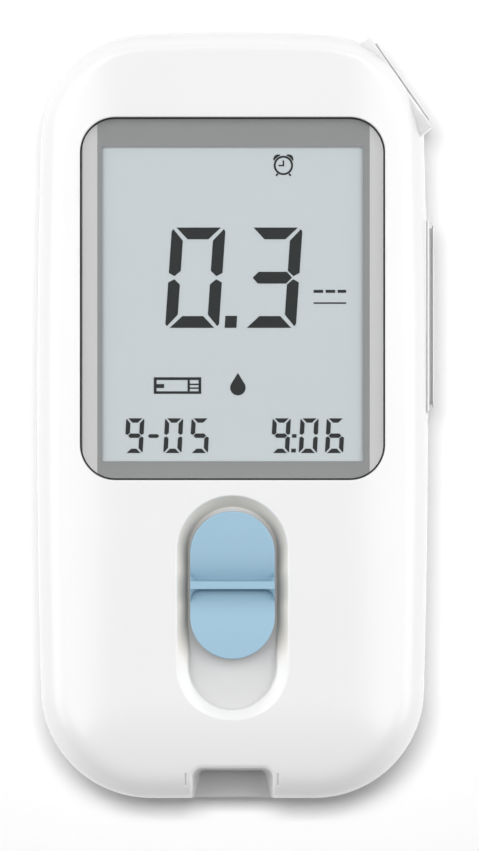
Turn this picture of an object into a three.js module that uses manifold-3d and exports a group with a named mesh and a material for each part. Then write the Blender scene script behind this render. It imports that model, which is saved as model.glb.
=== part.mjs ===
// Hand-held blood ketone meter, lying on its back. Millimetres, +Z out of the display, +Y to the top end.
// The origin is the middle of the rear face.

import * as THREE from "three";
import { mergeVertices } from "three/addons/utils/BufferGeometryUtils.js";
import Module from "manifold-3d";

const wasm = await Module();
wasm.setup();

// Case outline
const bodyLength = 100;
const bodyWidth = 50;
const sideCrown = 0.5;
const topCrown = 0.3;
const topCornerRadius = 14;
const bottomCornerRadius = 14.3;

// Case walls and rounded edges
const sideWall = 1.6;
const rearWall = 1.6;
const frontWall = 2.2;
const edgeReach = 5;
const edgeDrop = 6;
const rollLength = 13;
const rollDrop = 2.6;

// General clearances
const seamGap = 0.3;
const looseGap = 0.2;
const fineGap = 0.1;
const overrun = 1;

// Cells and the stack of pieces in front of them, rear to front
const doorThickness = 1.4;
const cellFloorGap = 0.55;
const cellDiameter = 10.5;
const cellCeilingGap = 0.45;
const ceilingThickness = 0.8;
const boardThickness = 1.2;
const zebraHeight = 2.4;
const glassThickness = 2;

const cellCentreZ = doorThickness + cellFloorGap + cellDiameter / 2;
const ceilingZ = cellCentreZ + cellDiameter / 2 + cellCeilingGap;
const boardUnderside = ceilingZ + ceilingThickness + seamGap;
const boardTop = boardUnderside + boardThickness;
const glassUnderside = boardTop + zebraHeight;
const glassTop = glassUnderside + glassThickness;
const roofZ = glassTop + looseGap;
const bodyHeight = roofZ + frontWall;
const partingShare = 0.5;
const partingZ = bodyHeight * partingShare;

// Display window
const windowSideMargin = 5.15;
const windowTopMargin = 11.3;
const windowBottomMargin = 41.5;
const windowCornerRadius = 4.6;
const lensThickness = 1.1;
const lensRecess = 0.1;
const lensGap = 0.25;
const maskThickness = 0.3;
const windowWidth = bodyWidth - 2 * windowSideMargin;
const windowLength = bodyLength - windowTopMargin - windowBottomMargin;
const windowCentreY = (windowBottomMargin - windowTopMargin) / 2;
const seatZ = bodyHeight - lensRecess - lensThickness - maskThickness;

// Display
const maskSideBorder = 2.9;
const maskTopBorder = 3.85;
const maskBottomBorder = 2.45;
const ledgeMargin = 0.8;
const glassSideMargin = 1.6;
const glassEndMargin = 2.1;
const trayWall = 1.1;
const trayFloor = 0.8;
const trayTopGap = 0.5;
const trayWindowShare = 0.8;
const zebraWidth = 2.2;
const zebraEndInset = 2.4;
const displayWidth = windowWidth - 2 * maskSideBorder;
const displayLength = windowLength - maskTopBorder - maskBottomBorder;
const displayCentreY = windowCentreY + (maskBottomBorder - maskTopBorder) / 2;
const glassWidth = displayWidth + 2 * glassSideMargin;
const glassLength = displayLength + 2 * glassEndMargin;

// Slide recess and thumb knob
const recessWidth = 14.75;
const recessLength = 29.6;
const recessEndInset = 10;
const recessDepth = 2;
const recessSlope = 1.7;
const recessLip = 0.35;
const recessFloorWall = 1.3;
const recessSurround = 0.6;
const knobWidth = 11;
const knobLength = 19.2;
const knobTopGap = 0.65;
const knobProud = 0.35;
const ridgeLength = 1;
const scoopDepth = 0.9;
const scoopSlopeShare = 0.62;
const slideTravel = 6.3;
const stemLength = 5;
const stemWidth = 3;
const recessCentreY = recessEndInset + recessLength / 2 - bodyLength / 2;
const recessFloorZ = bodyHeight - recessDepth;
const recessBossZ = recessFloorZ - recessFloorWall;
const recessTopY = recessCentreY + recessLength / 2 - recessSlope;
const knobCentreY = recessTopY - knobTopGap + looseGap - knobLength / 2;

// Slide carriage under the recess, its rails and its return spring
const carriageHalfWidth = 7.6;
const carriageThickness = 1.1;
const carriageAhead = 11.1;
const carriageBehind = 9;
const railWidth = 1;
const railDepth = 1.8;
const postWidth = 2.4;
const postLength = 2;
const postClear = 0.2;
const lugWidth = 3.6;
const lugLength = 1;
const springOffset = 5;
const springWire = 0.4;
const springCoilRadius = 1.1;
const springLength = 10.2;
const springTurns = 6;
const carriageTop = recessBossZ - looseGap;
const carriageUnderside = carriageTop - carriageThickness;
const carriageFrontY = knobCentreY - carriageAhead;
const springZ = (boardTop + carriageTop) / 2;

// Strip notch, collar and chute in the bottom end
const notchInnerWidth = 8.7;
const notchOuterWidth = 10.1;
const notchDepth = 3.4;
const notchRadius = 0.85;
const collarWidth = 12;
const collarWall = 1;
const slotWidth = 8;
const slotHeight = 1.2;
const notchInnerY = notchDepth - bodyLength / 2;
const collarInnerY = notchInnerY + collarWall;

// Strip connector
const connectorWidth = 11;
const connectorLength = 11.5;
const connectorFloor = 0.6;
const stripWidth = 7.4;
const stripThickness = 1;
const channelWidth = postWidth + 2 * seamGap;
const contactWidth = 0.7;
const contactThickness = 0.22;
const contactOffsets = [-3, -2.1, 2.1, 3];
const contactClear = 0.15;
const contactPathShares = [
  [0.04, 0.86], [0.7, 0.86], [0.75, 0.73],
  [0.73, 0.56], [0.5, 0.16], [0.34, 0.36],
];
const connectorFrontY = collarInnerY + seamGap;
const connectorRearY = connectorFrontY + connectorLength;

// Corner key
const keyAngle = THREE.MathUtils.degToRad(35);
const keyFlatDepth = 0.6;
const keyBossLength = 14.3;
const keyBossHeight = 11.4;
const keyBossReach = 7;
const keyLength = 11.7;
const keyHeight = 6.4;
const keyProud = 0.45;
const keyDome = 0.25;
const keyGap = 0.25;
const keyTravel = 0.5;
const flangeMargin = 0.6;
const flangeThickness = 0.75;
const nibSize = 3;
const nibReach = 0.95;

// Side-acting switches, hung under the board
const switchWidth = 6;
const switchDepth = 3.5;
const switchHeight = 3.4;
const plungerReach = 0.9;
const plungerWidth = 2.6;
const plungerHeight = 1.2;
const plungerDrop = 2;
const keyZ = boardUnderside - plungerDrop;

// Side rocker
const rockerTopInset = 37.15;
const rockerLength = 23.8;
const rockerProud = 0.8;
const rockerCrown = 0.15;
const rockerGap = 0.3;
const rockerRimMargin = 0.95;
const rockerRimProud = 0.1;
const rockerFlangeGap = 0.95;
const rockerHubRadius = 1;
const rockerHubLength = 9.2;
const trunnionRadius = 0.7;
const trunnionReach = 1.2;
const trunnionGap = 0.15;
const bracketThickness = 1.5;
const bracketRim = 0.5;
const bracketHalfLength = 1.8;
const rockerNibOffset = 8;
const rockerNibReach = 1;
const rockerPressGap = 0.45;
const rockerCentreY = bodyLength / 2 - rockerTopInset;
const rockerWallX = bodyWidth / 2 + sideCrown;
const rockerFlangeOuterX = rockerWallX - sideWall - rockerFlangeGap;
const rockerFlangeInnerX = rockerFlangeOuterX - flangeThickness;
const rockerPivotX = rockerFlangeInnerX - rockerHubRadius + looseGap;
const rockerNibX = rockerFlangeInnerX - rockerNibReach;
const rockerSwitchX = rockerNibX - rockerPressGap - plungerReach;

// Board
const boardInset = rockerWallX - sideCrown - rockerSwitchX;
const boardPostRadius = 1.5;
const boardPostSideInset = 8;
const boardPostBottomInset = 30;
const boardPostTopInset = 20;
const chipSize = 10;
const chipHeight = 1.4;
const chipPostGap = 1.5;
const crystalRadius = 1;
const crystalLength = 6;
const crystalInset = 1.5;
const buzzerRadius = 4.5;
const buzzerHeight = 3;
const buzzerHoleRadius = 0.8;
const buzzerPostGap = 1;
const postX = bodyWidth / 2 - boardPostSideInset;
const chipCentreX = postX - boardPostRadius - chipPostGap - chipSize / 2;
const chipCentreY = connectorRearY + seamGap + chipSize / 2;
const crystalX = chipCentreX - chipSize / 2 - crystalInset;
const crystalCentreY = chipCentreY + chipSize / 2 - crystalLength / 2;
const buzzerX = boardPostRadius + buzzerPostGap + buzzerRadius - postX;

// Cells, bay and contacts
const cellLength = 44.5;
const nubDiameter = 3.8;
const nubLength = 0.8;
const cellPitch = 11;
const bayWall = 1.2;
const baySideGap = 0.4;
const terminalThickness = 0.4;
const terminalWidth = 8;
const terminalHeight = 6.6;
const tailWidth = 2;
const coilLength = 4;
const coilRadius = 2.6;
const coilWire = 0.5;
const coilTurns = 3;
const bayTopInset = 5.4;
const bayHalfWidth = cellPitch / 2 + cellDiameter / 2 + baySideGap;
const bayLength = cellLength + coilLength + 2 * terminalThickness + 3 * fineGap;
const bayEndY = bodyLength / 2 - bayTopInset;
const bayStartY = bayEndY - bayLength;
const buzzerCentreY = bayStartY - bayWall - seamGap - buzzerRadius;
const terminalStartY = bayStartY + fineGap + terminalThickness;
const terminalEndY = bayEndY - fineGap - terminalThickness;

// Battery door
const doorSideGap = 0.25;
const doorLedge = 0.6;
const doorCornerRadius = 1.5;
const hookWidth = 1.8;
const hookReach = 2;
const hookRoot = 1.5;
const hookThickness = 1.15;
const hookLift = 0.15;
const latchWidth = 7;
const latchHeight = 2;
const latchThickness = 0.7;
const latchEdge = 0.35;
const gripLength = 5;
const gripWidth = 11;
const gripDepth = 0.45;
const doorHalfWidth = bayHalfWidth + doorLedge;
const doorStartY = bayStartY - looseGap;
const doorEndY = bayEndY - fineGap;
const openingStartY = doorStartY - doorSideGap;
const openingEndY = doorEndY + doorSideGap;

// Screws and their columns
const screwRadius = 1.1;
const screwHoleGap = 0.2;
const screwHeadRadius = 2;
const screwHeadHeight = 1.4;
const screwHeadSunk = 0.8;
const screwLength = 14.8;
const screwDriveWidth = 0.6;
const columnWall = 1.5;
const bottomScrewSideInset = 7.5;
const bottomScrewEndInset = 11.5;
const topScrewSideInset = 9.5;
const topScrewEndInset = 8.5;

// Label
const labelWidth = 28;
const labelLength = 16;
const labelThickness = 0.2;
const labelRadius = 1.5;
const labelEndInset = 10;
const labelCentreY = labelEndInset + labelLength / 2 - bodyLength / 2;

// Facets
const cornerSteps = 8;
const crownSteps = 6;
const edgeSteps = 5;
const rollSteps = 6;
const roundSides = 24;
const smallSides = 12;
const coilStepsPerTurn = 8;
const coilSides = 5;
const quarterTurn = Math.PI / 2;

// Solids from three.js shapes

function solidOf(geometry) {
  geometry.deleteAttribute("normal");
  geometry.deleteAttribute("uv");
  const merged = mergeVertices(geometry);
  return new wasm.Manifold(new wasm.Mesh({
    numProp: 3,
    vertProperties: merged.attributes.position.array,
    triVerts: new Uint32Array(merged.index.array),
  }));
}

function boxGeometry(x0, x1, y0, y1, z0, z1) {
  const geometry = new THREE.BoxGeometry(x1 - x0, y1 - y0, z1 - z0);
  return geometry.translate((x0 + x1) / 2, (y0 + y1) / 2, (z0 + z1) / 2);
}

function box(x0, x1, y0, y1, z0, z1) {
  return solidOf(boxGeometry(x0, x1, y0, y1, z0, z1));
}

function rod(radius, start, end, sides = roundSides) {
  const along = end.clone().sub(start);
  const geometry = new THREE.CylinderGeometry(radius, radius, along.length(), sides);
  const turn = new THREE.Quaternion().setFromUnitVectors(new THREE.Vector3(0, 1, 0), along.normalize());
  geometry.applyQuaternion(turn);
  const middle = start.clone().add(end).multiplyScalar(1 / 2);
  return solidOf(geometry.translate(middle.x, middle.y, middle.z));
}

function column(radius, x, y, z0, z1, sides = roundSides) {
  return rod(radius, new THREE.Vector3(x, y, z0), new THREE.Vector3(x, y, z1), sides);
}

function prism(outline, z0, z1) {
  const shape = new THREE.Shape(outline);
  const geometry = new THREE.ExtrudeGeometry(shape, { depth: z1 - z0, bevelEnabled: false });
  return solidOf(geometry.translate(0, 0, z0));
}

// An outline of (y, z) points, extruded along X
function sidePrism(outline, x0, x1) {
  const shape = new THREE.Shape(outline);
  const geometry = new THREE.ExtrudeGeometry(shape, { depth: x1 - x0, bevelEnabled: false });
  const axes = new THREE.Matrix4().makeBasis(
    new THREE.Vector3(0, 1, 0), new THREE.Vector3(0, 0, 1), new THREE.Vector3(1, 0, 0));
  geometry.applyMatrix4(axes);
  return solidOf(geometry.translate(x0, 0, 0));
}

// Rings of equal point count, from low z to high z, joined by quads and closed by caps
function loft(rings) {
  const count = rings[0].points.length;
  const positions = [];
  for (const ring of rings) {
    for (const point of ring.points) {
      positions.push(point.x, point.y, ring.z);
    }
  }
  const index = [];
  for (let ring = 0; ring + 1 < rings.length; ring += 1) {
    for (let i = 0; i < count; i += 1) {
      const a = ring * count + i;
      const b = ring * count + (i + 1) % count;
      index.push(a, b, b + count, a, b + count, a + count);
    }
  }
  const last = (rings.length - 1) * count;
  for (const [a, b, c] of THREE.ShapeUtils.triangulateShape(rings[0].points, [])) {
    index.push(a, c, b);
    index.push(last + a, last + b, last + c);
  }
  const geometry = new THREE.BufferGeometry();
  geometry.setAttribute("position", new THREE.Float32BufferAttribute(positions, 3));
  geometry.setIndex(index);
  return solidOf(geometry);
}

function union(solids) {
  return solids.reduce((sum, solid) => sum.add(solid));
}

function mesh(name, solid, material) {
  const { vertProperties, triVerts } = solid.getMesh();
  const geometry = new THREE.BufferGeometry();
  geometry.setAttribute("position", new THREE.Float32BufferAttribute(vertProperties, 3));
  geometry.setIndex(new THREE.Uint32BufferAttribute(triVerts, 1));
  geometry.computeVertexNormals();
  const piece = new THREE.Mesh(geometry, material);
  piece.name = name;
  return piece;
}

// Outlines

function arc(centreX, centreY, radius, from, sweep, steps) {
  const points = [];
  for (let i = 0; i <= steps; i += 1) {
    const angle = from + sweep * i / steps;
    points.push(new THREE.Vector2(centreX + radius * Math.cos(angle), centreY + radius * Math.sin(angle)));
  }
  return points;
}

function roundedRectangle(width, length, radius, centreX = 0, centreY = 0) {
  const x = width / 2 - radius;
  const y = length / 2 - radius;
  const corners = [[x, -y, -1], [x, y, 0], [-x, y, 1], [-x, -y, 2]];
  return corners.flatMap(([cornerX, cornerY, turn]) =>
    arc(centreX + cornerX, centreY + cornerY, radius, turn * quarterTurn, quarterTurn, cornerSteps / 2));
}

function pill(width, length, centreY) {
  const radius = width / 2;
  const reach = length / 2 - radius;
  return [
    ...arc(0, centreY - reach, radius, -2 * quarterTurn, 2 * quarterTurn, 2 * cornerSteps),
    ...arc(0, centreY + reach, radius, 0, 2 * quarterTurn, 2 * cornerSteps),
  ];
}

function crown(position, halfLength) {
  const share = Math.min(Math.abs(position) / halfLength, 1);
  return 1 - share * share;
}

// The case seen from the front, drawn in by an inset. Sides and top end are slightly crowned.
function caseOutline(inset) {
  const top = bodyLength / 2 - topCrown;
  const bottom = -bodyLength / 2;
  const topX = bodyWidth / 2 - topCornerRadius;
  const topY = top - topCornerRadius;
  const bottomX = bodyWidth / 2 - bottomCornerRadius;
  const bottomY = bottom + bottomCornerRadius;
  const side = bodyWidth / 2 - inset;
  const halfSide = (topY - bottomY) / 2;
  const points = arc(bottomX, bottomY, bottomCornerRadius - inset, -quarterTurn, quarterTurn, cornerSteps);
  for (let i = 1; i < crownSteps; i += 1) {
    points.push(new THREE.Vector2(side, bottomY + (topY - bottomY) * i / crownSteps));
  }
  points.push(...arc(topX, topY, topCornerRadius - inset, 0, quarterTurn, cornerSteps));
  for (let i = 1; i < crownSteps; i += 1) {
    points.push(new THREE.Vector2(topX - 2 * topX * i / crownSteps, top - inset));
  }
  points.push(...arc(-topX, topY, topCornerRadius - inset, quarterTurn, quarterTurn, cornerSteps));
  for (let i = 1; i < crownSteps; i += 1) {
    points.push(new THREE.Vector2(-side, topY - (topY - bottomY) * i / crownSteps));
  }
  points.push(...arc(
    -bottomX, bottomY, bottomCornerRadius - inset, 2 * quarterTurn, quarterTurn, cornerSteps));
  for (const point of points) {
    const middleY = (topY + bottomY) / 2;
    if (point.y > topY) {
      point.y += topCrown * crown(point.x, topX);
    }
    point.x += Math.sign(point.x) * sideCrown * crown(point.y - middleY, halfSide);
  }
  return points;
}

// A ribbon of even thickness along a line of points
function ribbon(points, thickness) {
  const sides = [[], []];
  points.forEach((point, i) => {
    const arriving = points[Math.max(i, 1)].clone().sub(points[Math.max(i - 1, 0)]).normalize();
    const last = points.length - 1;
    const leaving = points[Math.min(i + 1, last)].clone().sub(points[Math.min(i, last - 1)]).normalize();
    const along = arriving.add(leaving).divideScalar(2);
    const across = new THREE.Vector2(-along.y, along.x).multiplyScalar(thickness / 2 / along.lengthSq());
    sides[0].push(point.clone().sub(across));
    sides[1].unshift(point.clone().add(across));
  });
  return [...sides[0], ...sides[1]];
}

// Case halves

// One half of the case, drawn in by an inset, with its edge rounded as a quarter ellipse
function halfCase(inset, faceZ, rimZ, reach, drop) {
  const sign = Math.sign(faceZ - rimZ);
  const rings = [{ points: caseOutline(inset), z: rimZ }];
  for (let i = 0; i <= edgeSteps; i += 1) {
    const angle = quarterTurn * i / edgeSteps;
    rings.push({
      points: caseOutline(inset + reach * (1 - Math.cos(angle))),
      z: faceZ - sign * drop * (1 - Math.sin(angle)),
    });
  }
  return loft(sign > 0 ? rings : rings.reverse());
}

// What lies in front of the face where it rolls down to the bottom end
function rollCutter(below) {
  const startY = rollLength - bodyLength / 2;
  const outline = [new THREE.Vector2(startY, bodyHeight + overrun)];
  for (let i = 0; i <= rollSteps + 1; i += 1) {
    const share = i / rollSteps;
    const z = bodyHeight - below - rollDrop * share * share;
    outline.push(new THREE.Vector2(startY - rollLength * share, z));
  }
  outline.push(new THREE.Vector2(outline[outline.length - 1].x, bodyHeight + overrun));
  return sidePrism(outline, -bodyWidth, bodyWidth);
}

const topCornerX = bodyWidth / 2 - topCornerRadius;
const topCornerY = bodyLength / 2 - topCrown - topCornerRadius;
const keyFlatRadius = topCornerRadius - keyFlatDepth;
const keyPlace = new THREE.Vector3(
  topCornerX + keyFlatRadius * Math.cos(keyAngle), topCornerY + keyFlatRadius * Math.sin(keyAngle), keyZ);
const keyFrame = new THREE.Matrix4().makeRotationZ(keyAngle).setPosition(keyPlace);

// A box in the key's own frame: X out of the flat, Y along it, Z up from the key's middle
function keyBox(x0, x1, halfLength, halfHeight) {
  const geometry = boxGeometry(x0, x1, -halfLength, halfLength, -halfHeight, halfHeight);
  return solidOf(geometry.applyMatrix4(keyFrame));
}

const keyBoss = keyBox(-keyBossReach, 0, keyBossLength / 2, keyBossHeight / 2);
const keyFlatCut = keyBox(0, keyBossReach, keyBossLength / 2, bodyHeight);
const keyOpening = union([
  keyBox(-keyBossReach, overrun, keyLength / 2 + keyGap, keyHeight / 2 + keyGap),
  keyBox(
    -keyBossReach - overrun, -sideWall,
    keyLength / 2 + flangeMargin + keyGap, keyHeight / 2 + flangeMargin + keyGap),
]);

const rockerHalf = rockerLength / 2;
const rockerRim = box(
  rockerWallX - sideWall, rockerWallX + rockerRimProud,
  rockerCentreY - rockerHalf - rockerRimMargin, rockerCentreY + rockerHalf + rockerRimMargin,
  keyZ - keyHeight / 2 - rockerRimMargin, keyZ + keyHeight / 2 + rockerRimMargin);
const rockerOpening = box(
  rockerPivotX, rockerWallX + sideWall,
  rockerCentreY - rockerHalf - rockerGap, rockerCentreY + rockerHalf + rockerGap,
  keyZ - keyHeight / 2 - rockerGap, keyZ + keyHeight / 2 + rockerGap);
const hubHalf = rockerHubLength / 2;
const trunnionEnd = hubHalf + trunnionReach;

// The ear that holds one trunnion: below the hub in the rear half, above it in the front half
function rockerBracket(sign) {
  const near = keyZ + sign * (hubHalf + trunnionGap);
  const far = near + sign * bracketThickness;
  const ear = box(
    rockerPivotX - trunnionRadius - trunnionGap - bracketRim, rockerWallX,
    rockerCentreY - bracketHalfLength, rockerCentreY + bracketHalfLength,
    Math.min(near, far), Math.max(near, far));
  const hole = column(
    trunnionRadius + trunnionGap, rockerPivotX, rockerCentreY,
    Math.min(near, far) - overrun, Math.max(near, far) + overrun, smallSides);
  return { ear, hole };
}

const bottomScrewX = bodyWidth / 2 - bottomScrewSideInset;
const bottomScrewY = bottomScrewEndInset - bodyLength / 2;
const screwPlaces = [
  [-bottomScrewX, bottomScrewY],
  [bottomScrewX, bottomScrewY],
  [topScrewSideInset - bodyWidth / 2, bodyLength / 2 - topScrewEndInset],
];
const screwSeatZ = screwHeadSunk + screwHeadHeight;
const screwTipZ = screwSeatZ + screwLength;
const columnRadius = screwRadius + columnWall;

const lowPostY = boardPostBottomInset - bodyLength / 2;
const highPostY = bodyLength / 2 - boardPostTopInset;

function caseOuter(faceZ) {
  const half = halfCase(0, faceZ, partingZ, edgeReach, edgeDrop);
  const side = faceZ > partingZ
    ? box(-bodyWidth, bodyWidth, -bodyLength, bodyLength, partingZ, bodyHeight)
    : box(-bodyWidth, bodyWidth, -bodyLength, bodyLength, 0, partingZ);
  return union([half, rockerRim, keyBoss]).intersect(side).subtract(keyFlatCut);
}

function notchCutter() {
  const inner = notchInnerWidth / 2;
  const outer = notchOuterWidth / 2;
  const flare = (outer - inner) * overrun / notchDepth;
  const y = notchInnerY - notchRadius;
  const steps = cornerSteps / 2;
  const outline = [
    ...arc(-inner + notchRadius, y, notchRadius, 2 * quarterTurn, -quarterTurn, steps),
    ...arc(inner - notchRadius, y, notchRadius, quarterTurn, -quarterTurn, steps),
    new THREE.Vector2(outer + flare, -bodyLength / 2 - overrun),
    new THREE.Vector2(-outer - flare, -bodyLength / 2 - overrun),
  ];
  return prism(outline.reverse(), partingZ - overrun, bodyHeight + overrun);
}

function recessCutter() {
  const levels = [
    [recessSlope, recessFloorZ],
    [recessLip, bodyHeight - recessLip],
    [0, bodyHeight],
    [0, bodyHeight + overrun],
  ];
  return loft(levels.map(([inset, z]) => ({
    points: pill(recessWidth - 2 * inset, recessLength - 2 * inset, recessCentreY),
    z,
  })));
}

const stemReachY = knobCentreY - slideTravel - stemLength / 2 - looseGap;
const stemTopY = knobCentreY + stemLength / 2 + looseGap;
const springFrontY = carriageFrontY - fineGap;
const springAnchorY = springFrontY - springLength;

function frontCover() {
  const outer = caseOuter(bodyHeight).subtract(rollCutter(0));
  const cavity = halfCase(
    sideWall, roofZ, partingZ - overrun,
    edgeReach - sideWall, edgeDrop - frontWall).subtract(rollCutter(frontWall));
  const rootZ = roofZ + frontWall / 2;
  const inside = [
    prism(
      pill(recessWidth + 2 * recessSurround, recessLength + 2 * recessSurround, recessCentreY),
      recessBossZ, recessFloorZ),
    box(
      -collarWidth / 2, collarWidth / 2, -bodyLength / 2 + sideWall / 2, collarInnerY,
      partingZ, rootZ),
    box(
      -springOffset - lugWidth / 2, -springOffset + lugWidth / 2,
      springAnchorY - fineGap - lugLength, springAnchorY - fineGap, boardTop + looseGap, rootZ),
    rockerBracket(1).ear,
  ];
  for (const side of [-1, 1]) {
    const near = side * (carriageHalfWidth + looseGap);
    const far = near + side * railWidth;
    inside.push(box(
      Math.min(near, far), Math.max(near, far),
      carriageFrontY - slideTravel, knobCentreY + carriageBehind,
      roofZ - railDepth - looseGap, rootZ));
    inside.push(column(boardPostRadius, side * postX, lowPostY, boardTop, rootZ, smallSides));
  }
  for (const [x, y] of screwPlaces) {
    inside.push(column(columnRadius, x, y, partingZ, rootZ, smallSides));
  }
  const cuts = [
    prism(
      roundedRectangle(windowWidth, windowLength, windowCornerRadius, 0, windowCentreY),
      seatZ, bodyHeight + overrun),
    box(
      -displayWidth / 2 - ledgeMargin, displayWidth / 2 + ledgeMargin,
      displayCentreY - displayLength / 2 - ledgeMargin, displayCentreY + displayLength / 2 + ledgeMargin,
      partingZ, bodyHeight),
    recessCutter(),
    box(
      -stemWidth / 2 - looseGap, stemWidth / 2 + looseGap, stemReachY, stemTopY,
      partingZ, bodyHeight),
    notchCutter(),
    box(
      -slotWidth / 2, slotWidth / 2, notchInnerY - overrun, collarInnerY + overrun,
      partingZ - overrun, partingZ + slotHeight),
    keyOpening,
    rockerOpening,
    rockerBracket(1).hole,
  ];
  for (const [x, y] of screwPlaces) {
    const radius = screwRadius + screwHoleGap / 2;
    cuts.push(column(radius, x, y, partingZ - overrun, screwTipZ + seamGap, smallSides));
  }
  return outer.subtract(cavity).add(union(inside).intersect(outer)).subtract(union(cuts));
}

const pocketTopZ = doorThickness + hookLift + hookThickness + hookReach / 2 + seamGap;

function rearCover() {
  const outer = caseOuter(0);
  const cavity = halfCase(
    sideWall, rearWall, partingZ + overrun, edgeReach - sideWall, edgeDrop - rearWall);
  const bayOuterX = bayHalfWidth + bayWall;
  const bayFrontY = bayStartY - bayWall;
  const bayRearY = bayEndY + bayWall;
  const inside = [
    box(-bayOuterX, bayOuterX, bayFrontY, bayRearY, rearWall / 2, partingZ),
    box(
      -collarWidth / 2, collarWidth / 2, -bodyLength / 2 + sideWall / 2, collarInnerY,
      rearWall / 2, partingZ),
    rockerBracket(-1).ear,
  ];
  const tall = [
    box(-bayOuterX, bayOuterX, bayFrontY, bayRearY, partingZ - overrun, boardUnderside - seamGap),
  ];
  for (const side of [-1, 1]) {
    for (const y of [lowPostY, highPostY]) {
      inside.push(column(boardPostRadius, side * postX, y, rearWall / 2, partingZ, smallSides));
      tall.push(column(boardPostRadius, side * postX, y, partingZ - overrun, boardUnderside, smallSides));
    }
  }
  for (const [x, y] of screwPlaces) {
    inside.push(column(columnRadius, x, y, rearWall / 2, partingZ, smallSides));
  }
  const cuts = [
    box(-bayHalfWidth, bayHalfWidth, bayStartY, bayEndY, rearWall / 2, ceilingZ),
    prism(
      roundedRectangle(
        2 * (doorHalfWidth + doorSideGap), openingEndY - openingStartY, doorCornerRadius,
        0, (openingStartY + openingEndY) / 2),
      -overrun, rearWall),
    prism(
      roundedRectangle(labelWidth, labelLength, labelRadius, 0, labelCentreY),
      -overrun, labelThickness + fineGap / 2),
    keyOpening,
    rockerOpening,
    rockerBracket(-1).hole,
  ];
  for (const side of [-1, 1]) {
    const tailX = side * cellPitch / 2;
    cuts.push(box(
      tailX - tailWidth / 2 - looseGap, tailX + tailWidth / 2 + looseGap,
      bayStartY, terminalStartY + looseGap, ceilingZ - overrun, boardUnderside));
    const near = side * (bayHalfWidth - looseGap);
    const far = near - side * (hookWidth + 2 * seamGap);
    cuts.push(box(
      Math.min(near, far), Math.max(near, far),
      bayFrontY - overrun, bayStartY + overrun, rearWall, pocketTopZ));
  }
  for (const [x, y] of screwPlaces) {
    cuts.push(column(screwRadius + screwHoleGap, x, y, -overrun, partingZ + overrun, smallSides));
    cuts.push(column(screwHeadRadius + screwHoleGap, x, y, -overrun, screwSeatZ, roundSides));
  }
  return outer.subtract(cavity).add(union(inside).intersect(outer)).add(union(tall)).subtract(union(cuts));
}

// Window and display

function windowPlate(z0, z1) {
  const width = windowWidth - 2 * lensGap;
  const length = windowLength - 2 * lensGap;
  return prism(
    roundedRectangle(width, length, windowCornerRadius - lensGap, 0, windowCentreY), z0, z1);
}

function windowLens() {
  return windowPlate(seatZ + maskThickness, bodyHeight - lensRecess);
}

function windowMask() {
  return windowPlate(seatZ, seatZ + maskThickness).subtract(box(
    -displayWidth / 2, displayWidth / 2,
    displayCentreY - displayLength / 2, displayCentreY + displayLength / 2,
    seatZ - overrun, bodyHeight));
}

function lcdGlass() {
  return box(
    -glassWidth / 2, glassWidth / 2,
    displayCentreY - glassLength / 2, displayCentreY + glassLength / 2, glassUnderside, glassTop);
}

const zebraCentreY = displayCentreY - glassLength / 2 + zebraWidth / 2 + looseGap;
const zebraHalfLength = glassWidth / 2 - zebraEndInset;

function lcdHolder() {
  const halfWidth = glassWidth / 2 + looseGap + trayWall;
  const halfLength = glassLength / 2 + looseGap + trayWall;
  const floorZ = glassUnderside - trayFloor;
  const frame = box(
    -halfWidth, halfWidth, displayCentreY - halfLength, displayCentreY + halfLength,
    boardTop, roofZ - trayTopGap);
  const pocket = box(
    -glassWidth / 2 - looseGap, glassWidth / 2 + looseGap,
    displayCentreY - glassLength / 2 - looseGap, displayCentreY + glassLength / 2 + looseGap,
    glassUnderside, roofZ);
  const underside = box(
    -halfWidth + trayWall, halfWidth - trayWall,
    displayCentreY - halfLength + trayWall, displayCentreY + halfLength - trayWall,
    boardTop - overrun, floorZ);
  const zebraSlot = box(
    -zebraHalfLength - looseGap, zebraHalfLength + looseGap,
    zebraCentreY - zebraWidth / 2 - fineGap, zebraCentreY + zebraWidth / 2 + fineGap, boardTop, glassTop);
  const openingX = displayWidth / 2 * trayWindowShare;
  const openingY = displayLength / 2 * trayWindowShare;
  const opening = box(
    -openingX, openingX, displayCentreY - openingY, displayCentreY + openingY, boardTop, glassTop);
  return frame.subtract(union([pocket, underside, zebraSlot, opening]));
}

function zebraStrip() {
  return box(
    -zebraHalfLength, zebraHalfLength,
    zebraCentreY - zebraWidth / 2, zebraCentreY + zebraWidth / 2, boardTop, glassUnderside);
}

// Slide

function ejectorKnob() {
  const low = recessFloorZ + fineGap;
  const high = bodyHeight + knobProud;
  const body = prism(pill(knobWidth, knobLength, knobCentreY), low, high);
  const stem = box(
    -stemWidth / 2, stemWidth / 2, knobCentreY - stemLength / 2, knobCentreY + stemLength / 2,
    carriageUnderside, high - scoopDepth);
  // Each scoop is deepest beside the ridge and comes up to the rim at the knob's end
  const half = knobLength / 2 - recessLip;
  const rim = knobWidth / 2 - recessLip;
  const scoops = [-1, 1].map((side) => {
    const near = knobCentreY + side * ridgeLength / 2;
    const far = knobCentreY + side * half;
    const bend = near + (far - near) * (1 - scoopSlopeShare);
    const outline = [
      new THREE.Vector2(near, high + overrun),
      new THREE.Vector2(near, high - scoopDepth * scoopSlopeShare),
      new THREE.Vector2(near + (bend - near) / 2, high - scoopDepth),
      new THREE.Vector2(bend, high - scoopDepth * scoopSlopeShare),
      new THREE.Vector2(far, high),
      new THREE.Vector2(far, high + overrun),
    ];
    return sidePrism(side > 0 ? outline : outline.reverse(), -rim, rim);
  });
  const inner = prism(
    pill(knobWidth - 2 * recessLip, knobLength - 2 * recessLip, knobCentreY), low, high + overrun);
  return body.subtract(union(scoops).intersect(inner)).add(stem);
}

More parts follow.
